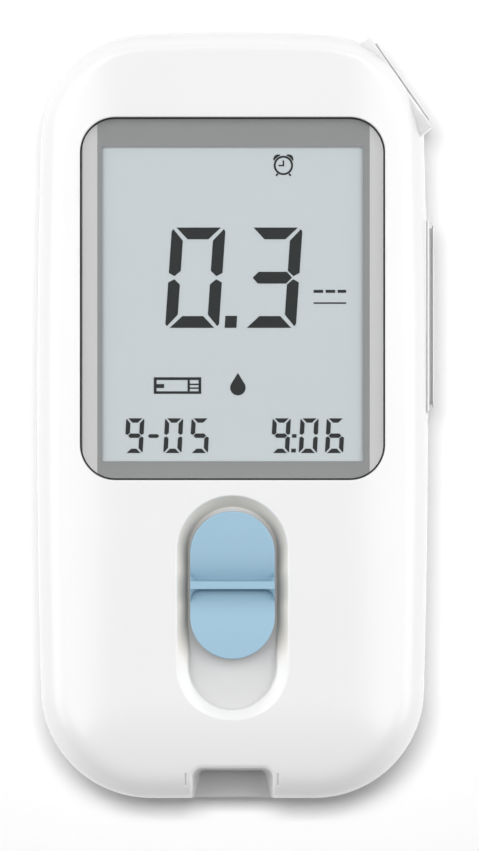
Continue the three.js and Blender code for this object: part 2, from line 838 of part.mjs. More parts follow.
function ejectorCarriage() {
  const plate = box(
    -carriageHalfWidth, carriageHalfWidth, carriageFrontY, knobCentreY + carriageBehind - looseGap,
    carriageUnderside, carriageTop);
  const socket = box(
    -stemWidth / 2 - fineGap, stemWidth / 2 + fineGap,
    knobCentreY - stemLength / 2 - fineGap, knobCentreY + stemLength / 2 + fineGap,
    carriageUnderside - overrun, carriageTop + overrun);
  const post = box(
    -postWidth / 2, postWidth / 2, carriageFrontY, carriageFrontY + postLength,
    partingZ + postClear, carriageTop);
  const lug = box(
    -springOffset - lugWidth / 2, -springOffset + lugWidth / 2,
    carriageFrontY, carriageFrontY + lugLength, boardTop + looseGap, carriageTop);
  return union([plate, post, lug]).subtract(socket);
}

// A coil about an axis from start towards end
class Coil extends THREE.Curve {
  constructor(radius, length, turns) {
    super();
    this.radius = radius;
    this.length = length;
    this.turns = turns;
  }

  getPoint(share, target = new THREE.Vector3()) {
    const angle = 2 * Math.PI * this.turns * share;
    return target.set(this.radius * Math.cos(angle), this.length * share, this.radius * Math.sin(angle));
  }
}

// The least gap between neighbouring turns, measured on points half a turn or more apart
function coilGap(curve, wire) {
  const count = curve.turns * coilStepsPerTurn;
  const points = Array.from({ length: count + 1 }, (_, i) => curve.getPoint(i / count));
  let least = Infinity;
  points.forEach((point, i) => {
    for (let j = i + coilStepsPerTurn / 2; j <= count; j += 1) {
      least = Math.min(least, point.distanceTo(points[j]) - wire);
    }
  });
  return least;
}

// Wire ends are drawn in by half the wire, so the coil keeps to its length
function coil(name, radius, length, turns, wire, x, y, z, direction) {
  const curve = new Coil(radius, length - wire, turns);
  console.log(`${name}: least gap between turns ${coilGap(curve, wire).toFixed(2)} mm`);
  const sweep = 2 * Math.PI * (1 - 1 / coilSides);
  const section = new THREE.Shape(arc(0, 0, wire / 2, 0, sweep, coilSides - 1));
  const geometry = new THREE.ExtrudeGeometry(section, {
    steps: turns * coilStepsPerTurn,
    extrudePath: curve,
    bevelEnabled: false,
  });
  geometry.translate(0, wire / 2, 0);
  if (direction < 0) {
    geometry.rotateZ(Math.PI);
  }
  return solidOf(geometry.translate(x, y, z));
}

// Strip connector and its contacts

function contactPath() {
  const low = partingZ;
  const span = boardUnderside - partingZ;
  return contactPathShares.map(([lengthShare, heightShare]) => new THREE.Vector2(
    connectorRearY - connectorLength * lengthShare, low + span * heightShare));
}

function stripConnector() {
  const body = box(
    -connectorWidth / 2, connectorWidth / 2, connectorFrontY, connectorRearY,
    partingZ - connectorFloor, boardUnderside);
  const cuts = [
    box(
      -stripWidth / 2, stripWidth / 2, connectorFrontY - overrun, connectorRearY + overrun,
      partingZ, partingZ + stripThickness),
    box(
      -channelWidth / 2, channelWidth / 2,
      carriageFrontY - slideTravel - seamGap, connectorRearY + overrun,
      partingZ, boardUnderside + overrun),
  ];
  for (const offset of contactOffsets) {
    const half = contactWidth / 2 + contactClear;
    const frontY = connectorRearY - connectorLength * (contactPathShares[2][0] + contactPathShares[0][0]);
    cuts.push(box(
      offset - half, offset + half, frontY, connectorRearY + overrun,
      partingZ, boardUnderside - fineGap));
  }
  return body.subtract(union(cuts));
}

function stripContact(offset) {
  const outline = ribbon(contactPath(), contactThickness);
  return sidePrism(outline, offset - contactWidth / 2, offset + contactWidth / 2);
}

// Keys and switches

// The corner key in its own frame, with a low dome on the face that a thumb meets
function powerKey() {
  const dome = [
    new THREE.Vector2(-sideWall - looseGap, -keyLength / 2),
    new THREE.Vector2(keyProud - keyDome, -keyLength / 2),
  ];
  for (let i = 1; i < crownSteps; i += 1) {
    const y = keyLength * (i / crownSteps - 1 / 2);
    dome.push(new THREE.Vector2(keyProud - keyDome + keyDome * crown(y, keyLength / 2), y));
  }
  dome.push(new THREE.Vector2(keyProud - keyDome, keyLength / 2));
  dome.push(new THREE.Vector2(-sideWall - looseGap, keyLength / 2));
  const flangeX = -sideWall - looseGap;
  const plate = prism(dome, -keyHeight / 2, keyHeight / 2);
  const flangeY = keyLength / 2 + flangeMargin;
  const flangeZ = keyHeight / 2 + flangeMargin;
  const flange = box(flangeX - flangeThickness, flangeX, -flangeY, flangeY, -flangeZ, flangeZ);
  const nibX = flangeX - flangeThickness;
  const nib = box(nibX - nibReach, nibX, -nibSize / 2, nibSize / 2, -nibSize / 2, nibSize / 2);
  return union([plate, flange, nib]);
}

const plungerX = -sideWall - looseGap - flangeThickness - nibReach - fineGap;
const switchFaceX = plungerX - plungerReach;

function powerPlunger() {
  return box(
    switchFaceX - switchDepth / 2, plungerX, -plungerWidth / 2, plungerWidth / 2,
    -plungerHeight / 2, plungerHeight / 2);
}

// Frame of a switch: X out of the plunger's face, Z up from the plunger's middle
function switchBody() {
  return box(
    -switchDepth, 0, -switchWidth / 2, switchWidth / 2,
    plungerDrop - looseGap - switchHeight, plungerDrop - looseGap);
}

function powerSwitch() {
  const body = switchBody().translate([switchFaceX, 0, 0]);
  const boreY = plungerWidth / 2 + fineGap;
  const boreZ = plungerHeight / 2 + fineGap;
  const bore = box(
    switchFaceX - switchDepth / 2 - keyTravel - looseGap, switchFaceX + overrun,
    -boreY, boreY, -boreZ, boreZ);
  return body.subtract(bore);
}

function rockerSwitch() {
  const plunger = box(
    -switchDepth / 2, plungerReach, -plungerWidth / 2, plungerWidth / 2,
    -plungerHeight / 2, plungerHeight / 2);
  return switchBody().add(plunger);
}

function sideRocker() {
  const faceX = rockerWallX + rockerProud;
  const low = keyZ - keyHeight / 2;
  const high = keyZ + keyHeight / 2;
  const outline = [new THREE.Vector2(rockerFlangeOuterX, rockerCentreY - rockerHalf)];
  for (let i = 0; i <= crownSteps; i += 1) {
    const y = rockerLength * (i / crownSteps - 1 / 2);
    outline.push(new THREE.Vector2(faceX - rockerCrown * (1 - crown(y, rockerHalf)), rockerCentreY + y));
  }
  outline.push(new THREE.Vector2(rockerFlangeOuterX, rockerCentreY + rockerHalf));
  const solids = [
    prism(outline, low, high),
    box(rockerFlangeInnerX, rockerFlangeOuterX,
      rockerCentreY - rockerHalf - flangeMargin, rockerCentreY + rockerHalf + flangeMargin,
      low - flangeMargin, high + flangeMargin),
    column(rockerHubRadius, rockerPivotX, rockerCentreY, keyZ - hubHalf, keyZ + hubHalf, smallSides),
    column(trunnionRadius, rockerPivotX, rockerCentreY, keyZ - trunnionEnd, keyZ + trunnionEnd, smallSides),
  ];
  for (const side of [-1, 1]) {
    const y = rockerCentreY + side * rockerNibOffset;
    solids.push(box(
      rockerNibX, rockerFlangeInnerX, y - nibSize / 2, y + nibSize / 2,
      keyZ - nibSize / 2, keyZ + nibSize / 2));
  }
  return union(solids);
}

// Board and what it carries

function mainBoard() {
  const board = prism(caseOutline(boardInset), boardUnderside, boardTop);
  const cuts = [
    box(
      -channelWidth / 2, channelWidth / 2,
      carriageFrontY - slideTravel - seamGap, carriageFrontY + postLength + seamGap,
      boardUnderside, boardTop),
    box(
      rockerPivotX - rockerHubRadius - 2 * looseGap, bodyWidth,
      rockerCentreY - bracketHalfLength, rockerCentreY + bracketHalfLength, boardUnderside, boardTop),
    box(-collarWidth, collarWidth, -bodyLength, collarInnerY + seamGap, boardUnderside, boardTop),
  ];
  for (const [x, y] of screwPlaces) {
    cuts.push(column(
      columnRadius + seamGap, x, y, boardUnderside - overrun, boardTop + overrun, smallSides));
  }
  return board.subtract(union(cuts));
}

function mcuChip() {
  return box(
    chipCentreX - chipSize / 2, chipCentreX + chipSize / 2,
    chipCentreY - chipSize / 2, chipCentreY + chipSize / 2,
    boardUnderside - chipHeight, boardUnderside);
}

function clockCrystal() {
  const z = boardUnderside - crystalRadius;
  const start = new THREE.Vector3(crystalX, crystalCentreY - crystalLength / 2, z);
  const end = new THREE.Vector3(crystalX, crystalCentreY + crystalLength / 2, z);
  return rod(crystalRadius, start, end, smallSides);
}

function piezoBuzzer() {
  const can = column(
    buzzerRadius, buzzerX, buzzerCentreY, boardUnderside - buzzerHeight, boardUnderside);
  const hole = column(
    buzzerHoleRadius, buzzerX, buzzerCentreY,
    boardUnderside - buzzerHeight - overrun, boardUnderside - buzzerHeight / 2, smallSides);
  return can.subtract(hole);
}

// Cells, contacts and door

// A cell along Y, its positive end towards the given sign
function cell(x, startY, sign) {
  const length = cellLength - nubLength;
  const profile = [
    new THREE.Vector2(0, 0),
    new THREE.Vector2(cellDiameter / 2, 0),
    new THREE.Vector2(cellDiameter / 2, length),
    new THREE.Vector2(nubDiameter / 2, length),
    new THREE.Vector2(nubDiameter / 2, cellLength),
    new THREE.Vector2(0, cellLength),
  ];
  const geometry = new THREE.LatheGeometry(profile, roundSides);
  geometry.translate(0, -cellLength / 2, 0);
  if (sign < 0) {
    geometry.rotateZ(Math.PI);
  }
  return solidOf(geometry.translate(x, startY + cellLength / 2, cellCentreZ));
}

function terminalPlate(x, halfWidth, y0) {
  return box(
    x - halfWidth, x + halfWidth, y0, y0 + terminalThickness,
    cellCentreZ - terminalHeight / 2, cellCentreZ + terminalHeight / 2);
}

function tail(x) {
  return box(
    x - tailWidth / 2, x + tailWidth / 2, terminalStartY - terminalThickness, terminalStartY,
    cellCentreZ, boardUnderside - fineGap);
}

function negativeTerminal() {
  const x = -cellPitch / 2;
  return union([
    terminalPlate(x, terminalWidth / 2, terminalStartY - terminalThickness),
    tail(x),
    coil(
      "negative_terminal", coilRadius, coilLength, coilTurns, coilWire,
      x, terminalStartY - coilWire / 2, cellCentreZ, 1),
  ]);
}

function positiveTerminal() {
  const x = cellPitch / 2;
  return union([terminalPlate(x, terminalWidth / 2, terminalStartY - terminalThickness), tail(x)]);
}

function batteryBridge() {
  const x = cellPitch / 2;
  return union([
    terminalPlate(0, x + terminalWidth / 2, terminalEndY),
    coil(
      "battery_bridge", coilRadius, coilLength, coilTurns, coilWire,
      x, terminalEndY + coilWire / 2, cellCentreZ, -1),
  ]);
}

function batteryDoor() {
  const middleY = (doorStartY + doorEndY) / 2;
  const plate = prism(
    roundedRectangle(2 * doorHalfWidth, doorEndY - doorStartY, doorCornerRadius, 0, middleY),
    0, doorThickness);
  const solids = [plate];
  for (const side of [-1, 1]) {
    const outer = side * (bayHalfWidth - looseGap - seamGap);
    const inner = outer - side * hookWidth;
    const x0 = Math.min(outer, inner);
    const x1 = Math.max(outer, inner);
    const armZ = rearWall + hookLift;
    const rootY = doorStartY + hookLift + fineGap;
    solids.push(box(x0, x1, rootY, rootY + hookRoot, doorThickness / 2, armZ + hookThickness));
    solids.push(box(x0, x1, doorStartY - hookReach, rootY + hookRoot, armZ, armZ + hookThickness));
  }
  const latchY = doorEndY - latchEdge;
  solids.push(box(
    -latchWidth / 2, latchWidth / 2, latchY - latchThickness, latchY,
    doorThickness / 2, doorThickness + latchHeight));
  const grip = prism(
    roundedRectangle(gripWidth, gripLength, gripLength / 2, 0, doorEndY - gripLength), -overrun, gripDepth);
  return union(solids).subtract(grip);
}

// Fasteners and label

function caseScrew(x, y) {
  const head = column(screwHeadRadius, x, y, screwHeadSunk, screwSeatZ, roundSides);
  const shank = column(screwRadius, x, y, screwSeatZ - screwHeadHeight / 2, screwTipZ, smallSides);
  const halfDrive = screwHeadRadius / 2;
  const halfSlot = screwDriveWidth / 2;
  const driveZ = screwHeadSunk + screwHeadHeight / 2;
  const drive = union([
    box(x - halfDrive, x + halfDrive, y - halfSlot, y + halfSlot, screwHeadSunk - overrun, driveZ),
    box(x - halfSlot, x + halfSlot, y - halfDrive, y + halfDrive, screwHeadSunk - overrun, driveZ),
  ]);
  return head.add(shank).subtract(drive);
}

function rearLabel() {
  return prism(
    roundedRectangle(labelWidth - 2 * fineGap, labelLength - 2 * fineGap, labelRadius, 0, labelCentreY),
    fineGap / 2, labelThickness + fineGap / 2);
}

// Materials

function material(color, roughness, metalness = 0) {
  return new THREE.MeshStandardMaterial({ color, roughness, metalness });
}

const whitePlastic = material(0xf4f4f4, 0.25);
const innerPlastic = material(0xe8e8e4, 0.5);
const bluePlastic = material(0x9fc2d7, 0.35);
const blackPlastic = material(0x1c1c1e, 0.5);
const clearPlastic = material(0xdfe6e8, 0.08);
const greyPrint = material(0x929292, 0.5);
const displayFace = material(0xc8d0d2, 0.3);
const rubber = material(0x3a3a3c, 0.8);
const boardGreen = material(0x1f6b45, 0.5);
const steel = material(0xb8bcc0, 0.3, 1);
const brass = material(0xc9a45a, 0.35, 1);
const cellSleeve = material(0x3b3f45, 0.4);
const labelPaper = material(0xdadada, 0.6);

// The assembly

const meter = new THREE.Group();

const caseGroup = new THREE.Group();
caseGroup.add(
  mesh("front_cover", frontCover(), whitePlastic),
  mesh("rear_cover", rearCover(), whitePlastic),
  mesh("battery_door", batteryDoor(), whitePlastic),
  mesh("rear_label", rearLabel(), labelPaper));
screwPlaces.forEach(([x, y], i) => {
  caseGroup.add(mesh(`case_screw_${i + 1}`, caseScrew(x, y), steel));
});

const displayGroup = new THREE.Group();
displayGroup.add(
  mesh("window_lens", windowLens(), clearPlastic),
  mesh("window_mask", windowMask(), greyPrint),
  mesh("lcd_glass", lcdGlass(), displayFace),
  mesh("lcd_holder", lcdHolder(), innerPlastic),
  mesh("zebra_strip", zebraStrip(), rubber));

const slideGroup = new THREE.Group();
const returnSpring = coil(
  "ejector_spring", springCoilRadius, springLength, springTurns, springWire,
  -springOffset, springAnchorY, springZ, 1);
slideGroup.add(
  mesh("ejector_knob", ejectorKnob(), bluePlastic),
  mesh("ejector_carriage", ejectorCarriage(), innerPlastic),
  mesh("ejector_spring", returnSpring, steel));

const cornerKeyGroup = new THREE.Group();
cornerKeyGroup.position.copy(keyPlace);
cornerKeyGroup.rotation.z = keyAngle;
cornerKeyGroup.add(
  mesh("power_key", powerKey(), whitePlastic),
  mesh("power_plunger", powerPlunger(), blackPlastic),
  mesh("power_switch", powerSwitch(), blackPlastic));

const rockerGroup = new THREE.Group();
rockerGroup.add(mesh("side_rocker", sideRocker(), whitePlastic));
[-1, 1].forEach((side, i) => {
  const piece = mesh(`rocker_switch_${i + 1}`, rockerSwitch(), blackPlastic);
  piece.position.set(rockerSwitchX, rockerCentreY + side * rockerNibOffset, keyZ);
  rockerGroup.add(piece);
});

const boardGroup = new THREE.Group();
boardGroup.add(
  mesh("main_board", mainBoard(), boardGreen),
  mesh("mcu_chip", mcuChip(), blackPlastic),
  mesh("clock_crystal", clockCrystal(), steel),
  mesh("piezo_buzzer", piezoBuzzer(), blackPlastic),
  mesh("strip_connector", stripConnector(), blackPlastic));
contactOffsets.forEach((offset, i) => {
  boardGroup.add(mesh(`strip_contact_${i + 1}`, stripContact(offset), brass));
});

const powerGroup = new THREE.Group();
const firstCellY = terminalStartY + coilLength;
powerGroup.add(
  mesh("battery_1", cell(-cellPitch / 2, firstCellY, 1), cellSleeve),
  mesh("battery_2", cell(cellPitch / 2, terminalStartY + fineGap, -1), cellSleeve),
  mesh("negative_terminal", negativeTerminal(), steel),
  mesh("positive_terminal", positiveTerminal(), steel),
  mesh("battery_bridge", batteryBridge(), steel));

meter.add(caseGroup, displayGroup, slideGroup, cornerKeyGroup, rockerGroup, boardGroup, powerGroup);

export default meter;
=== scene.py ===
import math

import bmesh
import bpy
import numpy as np
from mathutils import Matrix, Vector
from mathutils.geometry import delaunay_2d_cdt


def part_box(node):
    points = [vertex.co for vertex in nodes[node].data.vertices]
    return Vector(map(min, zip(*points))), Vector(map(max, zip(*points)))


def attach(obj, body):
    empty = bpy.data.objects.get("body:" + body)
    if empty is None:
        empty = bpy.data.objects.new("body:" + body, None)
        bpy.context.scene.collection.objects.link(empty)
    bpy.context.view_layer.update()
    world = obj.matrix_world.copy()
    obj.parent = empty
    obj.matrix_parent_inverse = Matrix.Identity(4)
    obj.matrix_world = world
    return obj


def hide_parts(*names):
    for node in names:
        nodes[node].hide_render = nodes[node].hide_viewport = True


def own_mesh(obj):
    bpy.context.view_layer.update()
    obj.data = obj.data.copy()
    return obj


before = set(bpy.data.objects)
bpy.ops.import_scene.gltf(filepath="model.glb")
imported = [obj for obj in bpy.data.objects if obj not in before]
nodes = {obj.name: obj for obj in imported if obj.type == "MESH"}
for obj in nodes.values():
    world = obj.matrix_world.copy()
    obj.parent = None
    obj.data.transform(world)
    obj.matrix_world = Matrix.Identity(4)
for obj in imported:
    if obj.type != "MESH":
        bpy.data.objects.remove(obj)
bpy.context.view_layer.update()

# Hand-held ketone meter on a white table. Sizes are in millimetres here and in metres in the meshes.
mm = 0.001


# plan curves and distances: a flat part is a dictionary of width, length, corner radius and its middle's y, cy

def crown(position, half):
    # one minus the square of the share of the half length, nought past the end
    return 1 - np.minimum(np.abs(position) / half, 1) ** 2


def smoothStep(low, high, value):
    # three t squared less two t cubed, t being the share of the way from low to high
    t = np.clip((value - low) / (high - low), 0, 1)
    return t * t * (3 - 2 * t)


def fillet(distance, radius):
    # drop of a quarter round: full radius at the edge and beyond it, nought one radius inside
    near = np.clip(radius - distance, 0, radius)
    return radius - np.sqrt(np.maximum(radius ** 2 - near ** 2, 0))


def around(cx, cy, radius, turn):
    # centre plus radius times cosine and sine of the angle
    return np.stack([cx + radius * np.cos(turn), cy + radius * np.sin(turn)], 1)


def arcPoints(cx, cy, radius, start, sweep, count):
    # a circle's arc, its angles in degrees
    return around(cx, cy, radius, np.radians(start + sweep * np.linspace(0, 1, count + 1)))


def disc(cx, cy, radius, count):
    # a full circle, its last point left out because it is the first one
    return arcPoints(cx, cy, radius, 0, 360, count)[:-1]


def roundRect(width, length, radius, cy, arcSteps, straightSteps, cx=0.0):
    # four quarter arcs joined by straight runs, counterclockwise from the lower right corner
    x, y = width / 2 - radius, length / 2 - radius
    rows = [arcPoints(cx + px, cy + py, radius, start, 90, arcSteps)
            for px, py, start in ((x, -y, -90), (x, y, 0), (-x, y, 90), (-x, -y, 180))]
    full = []
    share = np.linspace(0, 1, straightSteps + 1)[1:-1, None]
    for row, following in zip(rows, rows[1:] + rows[:1]):
        full += [row, row[-1] + (following[0] - row[-1]) * share]
    return np.concatenate(full)


def between(width, low, high, radius):
    # flat part that runs from low to high
    return {"width": width, "length": high - low, "radius": radius, "cy": (low + high) / 2}


def ringOf(part, grow, arcSteps, straightSteps, share=1.0):
    # outline of a flat part grown on every side, its corner radius by a share of that
    return roundRect(part["width"] + 2 * grow, part["length"] + 2 * grow, part["radius"] + grow * share,
                     part["cy"], arcSteps, straightSteps)


def pillRing(part, inset, arcSteps, straightSteps):
    # outline of a pill drawn in by the inset: its radius is half its width
    width = part["width"] - 2 * inset
    return roundRect(width, part["length"] - 2 * inset, width / 2 - 1e-4, part["cy"], arcSteps, straightSteps)


def pillInset(x, y, part):
    # how far inside a pill a point lies: half width less the distance to the pill's spine
    spine = part["length"] / 2 - part["width"] / 2
    return part["width"] / 2 - np.hypot(x, np.maximum(np.abs(y - part["cy"]) - spine, 0))


def cornerOutset(qx, qy):
    # distance from a square corner: the root of the sum of squares outside it, the nearer side inside it
    return np.hypot(np.maximum(qx, 0), np.maximum(qy, 0)) + np.minimum(np.maximum(qx, qy), 0)


def rectOutset(x, y, part):
    # signed distance outside a rounded rectangle: from its inner corner, less the radius
    qx = np.abs(x) - (part["width"] / 2 - part["radius"])
    qy = np.abs(y - part["cy"]) - (part["length"] / 2 - part["radius"])
    return cornerOutset(qx, qy) - part["radius"]


def gridPoints(xs, ys, shift=0.0):
    # every pair of the two rows, each second line moved by the shift
    gx, gy = np.meshgrid(xs, ys)
    gx[1::2] += shift
    return np.stack([gx.ravel(), gy.ravel()], 1)


def insideRing(points, ring):
    # odd number of ring edges crossed by a ray along +x, for blocks of points at once
    ax, ay = ring.T
    bx, by = np.roll(ax, -1), np.roll(ay, -1)
    rise = np.where(by == ay, 1.0, by - ay)
    inside = np.zeros(len(points), bool)
    for start in range(0, len(points), 4000):
        px, py = points[start:start + 4000, 0, None], points[start:start + 4000, 1, None]
        crossed = ((ay > py) != (by > py)) & (px < ax + (py - ay) * (bx - ax) / rise)
        inside[start:start + 4000] = crossed.sum(1) % 2 == 1
    return inside


def within(points, rings):
    # inside the first ring and outside the others
    return np.all([insideRing(points, rings[0])] + [~insideRing(points, hole) for hole in rings[1:]], axis=0)


def ringDistance(points, rings):
    # least distance to any ring's points, for blocks of points at once
    every = np.concatenate(rings)
    best = np.full(len(points), np.inf)
    for start in range(0, len(points), 2000):
        gap = points[start:start + 2000, None] - every[None]
        best[start:start + 2000] = np.sqrt((gap ** 2).sum(2)).min(1)
    return best


def atHeight(ring, z):
    # plan points lifted to a height, or to a function of x and y
    z = z(*ring.T) if callable(z) else z
    return np.column_stack([ring, np.broadcast_to(z, len(ring))])


# meshes

class Shell:
    # collects points and faces, welds them and puts one closed mesh into the scene
    def __init__(self):
        self.points, self.faces, self.count = [], [], 0

    def add(self, points, faces):
        self.points.append(np.asarray(points, float))
        self.faces.extend((np.asarray(faces) + self.count).tolist())
        self.count += len(points)

    def grid(self, grid, closedRows=False):
        # quads between rows of points, each row a closed ring
        rows, columns = grid.shape[:2]
        index = np.arange(rows * columns).reshape(rows, columns)
        up, down = (index, np.roll(index, -1, 0)) if closedRows else (index[:-1], index[1:])
        quads = np.stack([up, np.roll(up, -1, 1), np.roll(down, -1, 1), down], -1)
        self.add(grid.reshape(-1, 3), quads.reshape(-1, 4))

    def wall(self, top, bottom, rows=1):
        # ruled strip: each row is the share of the way from the top ring to the bottom ring
        share = np.linspace(0, 1, rows + 1)[:, None, None]
        self.grid(top[None] * (1 - share) + bottom[None] * share)

    def drop(self, ring, top, bottom, rows=1):
        # upright wall: one plan ring at two heights
        self.wall(atHeight(ring, top), atHeight(ring, bottom), rows)

    def sheet(self, outer, holes, height, extra=None, spacing=None, margin=None):
        # plan triangulation between rings, lifted to its height, with a grid of points where a spacing is given
        rings = [outer, *holes]
        inner = np.empty((0, 2))
        if spacing:
            low, high = outer.min(0) + spacing / 3, outer.max(0)
            inner = gridPoints(np.arange(low[0], high[0], spacing), np.arange(low[1], high[1], spacing * 0.866),
                               spacing / 2)
            inner = inner[ringDistance(inner, rings) > (margin or spacing * 0.5)]
        if extra is not None:
            inner = np.concatenate([inner, extra])
        points = np.concatenate(rings + [inner[within(inner, rings)]])
        edges, base = [], 0
        for ring in rings:
            index = base + np.arange(len(ring))
            edges += np.stack([index, np.roll(index, -1)], 1).tolist()
            base += len(ring)
        vectors = [Vector(p) for p in points.tolist()]
        out, _, faces, sources, _, _ = delaunay_2d_cdt(vectors, edges, [], 0, 1e-6, True)
        plan = np.array([tuple(p) for p in out])
        tris = np.array([f for f in faces if len(f) == 3])
        # the triangulation rounds to single precision: tested there, then put back to meet the walls exactly
        single = [ring.astype(np.float32).astype(float) for ring in rings]
        tris = tris[within(plan[tris].mean(1), single)]
        source = np.array([found[0] if found else -1 for found in sources])
        plan = np.where(source[:, None] >= 0, points[source], plan)
        self.add(atHeight(plan, height), tris)

    def piece(self, name, place=None, sharp=32.0, weld=2e-3):
        # the welded mesh as an object; edges over the sharp angle stay hard
        mesh = bpy.data.meshes.new(name)
        mesh.from_pydata((np.concatenate(self.points) * mm).tolist(), [], self.faces)
        if place is not None:
            mesh.transform(place)
        form = bmesh.new()
        form.from_mesh(mesh)
        bmesh.ops.remove_doubles(form, verts=form.verts, dist=weld * mm)
        bmesh.ops.dissolve_degenerate(form, edges=form.edges, dist=1e-8)
        bmesh.ops.recalc_face_normals(form, faces=form.faces)
        form.to_mesh(mesh)
        form.free()
        obj = bpy.data.objects.new(name, mesh)
        bpy.context.scene.collection.objects.link(obj)
        softShade(obj, sharp)
        return obj


def softShade(obj, sharp):
    mesh = obj.data
    mesh.polygons.foreach_set("use_smooth", np.ones(len(mesh.polygons), bool))
    mesh.set_sharp_from_angle(angle=math.radians(sharp))
    mesh.update()


def carve(obj, cutter, operation="DIFFERENCE"):
    # the cutter taken from the piece, or joined to it
    modifier = obj.modifiers.new("carve", "BOOLEAN")
    modifier.operation, modifier.solver, modifier.object = operation, "EXACT", cutter
    graph = bpy.context.evaluated_depsgraph_get()
    mesh = bpy.data.meshes.new_from_object(obj.evaluated_get(graph))
    obj.modifiers.clear()
    spare = [obj.data, cutter.data]
    obj.data = mesh
    bpy.data.objects.remove(cutter)
    for old in spare:
        bpy.data.meshes.remove(old)
    mesh.name = obj.name
    softShade(obj, 32.0)
    return obj


def slab(ring, low, high, place=None):
    # straight prism over a plan ring
    shell = Shell()
    shell.sheet(ring, [], high)
    shell.sheet(ring, [], low)
    shell.drop(ring, high, low)
    return shell.piece("slab", place)


# the case's form

case = {
    "length": 100, "width": 50, "sideCrown": 0.5, "topCrown": 0.3,
    "topRadius": 14, "bottomRadius": 14.3, "height": 22, "parting": 11,
    "wall": 1.6, "frontWall": 2.2, "roof": 19.8, "reach": 5, "drop": 6, "rollLength": 13, "rollDrop": 2.6,
    "topReach": 2.4, "crownRate": 0.031, "crownReach": 11.5,
}
topY = case["length"] / 2 - case["topCrown"] - case["topRadius"]
bottomY = case["bottomRadius"] - case["length"] / 2
topX = case["width"] / 2 - case["topRadius"]
bottomX = case["width"] / 2 - case["bottomRadius"]
middleY = (topY + bottomY) / 2
halfSide = (topY - bottomY) / 2
mouthY = 0.1 - case["length"] / 2

window = {"width": 39.7, "length": 47.2, "radius": 4.6, "cy": 15.1, "seat": 20.5, "lip": 0.14,
          "lipRings": (0.015, 0.04, 0.07, 0.1, 0.14, 0.3)}
ledge = {"width": 35.5, "length": 42.5, "radius": 1.5, "cy": 14.4}
recess = {"width": 14.75, "length": 29.6, "cy": -25.2, "slope": 1.7, "steep": 1.6, "depth": 2.0,
          "lipShare": 0.42, "lowFrom": -27.0, "lowTo": -33.0, "underside": 18.7}
slot = between(3.4, -31.15, -19.45, 0.6)
notch = {"half": 5.25, "flare": 0.05, "top": -45.95, "radius": 1.3, "lip": 0.5,
         "floorInner": 4.35, "floorOuter": 5.05, "floorY": -46.6, "floorRadius": 0.85,
         "collar": 6.2, "collarY": -45.0,
         "tickX": 6.0, "tickMiddle": -0.09, "tickWidth": 0.12, "tickDepth": 0.32,
         "tickEnds": (-48.4, -48.2, -46.8, -46.6), "lipRings": (0.05, 0.11, 0.18, 0.26, 0.36, 0.48, 0.62)}
stripSlot = {"width": 8, "length": 4, "radius": 0.3, "cy": -46, "low": 10, "high": 12.2}
cornerKey = {"angle": 35.0, "radius": 13.4, "bossHalf": 7.2, "rimTop": 18.95, "earRise": 0.85, "rimSlope": 0.78,
             "rimWidth": 0.3, "areaEdge": 0.7, "areaOut": -3.4, "rearTop": 5.7, "gap": 0.25, "z": 12.0,
             "cutFrom": -7, "cutTo": 1,
             "cap": {"width": 12.1, "length": 6.4, "radius": 0.9, "cy": 0}, "proud": 0.46, "dome": 0.06,
             "edge": 0.04, "edgeRings": (0.01, 0.025, 0.04), "steps": 14, "spacing": 0.5, "margin": 0.4,
             "levels": (0.22, -1.8, -2.55, -3.5), "neckIn": 0.6, "neckRows": 2, "flangeSteps": 6, "nibs": (0,)}
rocker = {"cy": 12.85, "gap": 0.3, "pivot": 21.4, "cutTo": 27, "areaX": 24.3, "areaEdge": 0.9,
          "rimX": 25.66, "rimTop": 17.4, "rimSlope": 0.3, "rimMargin": 0.95,
          "creaseX": 25.33, "creaseDepth": 0.3,
          "cap": {"width": 23.8, "length": 6.4, "radius": 0.8, "cy": 0}, "face": 26.34, "crown": 0.03,
          "dimpleX": 7.6, "dimpleDepth": 0.22, "edge": 0.06, "edgeRings": (0.015, 0.035, 0.06), "steps": 40,
          "spacing": 0.4, "margin": 0.35, "levels": (26.14, 22.95, 22.2, 21.2), "neckIn": 0.4, "neckRows": 3,
          "flangeSteps": 10, "nibs": (-8.0, 8.0), "hub": (1.0, 4.6), "pin": (0.7, 5.8)}
rimLow = rocker["cy"] - rocker["cap"]["width"] / 2 - rocker["rimMargin"]
rimHigh = rocker["cy"] + rocker["cap"]["width"] / 2 + rocker["rimMargin"]
knob = {"width": 11.0, "length": 19.2, "cy": -22.15, "low": 20.1, "high": 22.35, "edge": 0.1, "rim": 0.08,
        "ridge": 0.48, "depth": 1.0, "corner": 1.25, "stemWidth": 3.0, "stemLength": 5.0, "stemLow": 17.4,
        "footTop": 21.6, "shadeReach": 4.2,
        "edgeRings": (0.02, 0.05, 0.09, 0.13, 0.18, 0.24, 0.31, 0.38, 0.46, 0.55, 0.66)}

keyCos, keySin = math.cos(math.radians(cornerKey["angle"])), math.sin(math.radians(cornerKey["angle"]))
keyX = topX + cornerKey["radius"] * keyCos
keyY = topY + cornerKey["radius"] * keySin


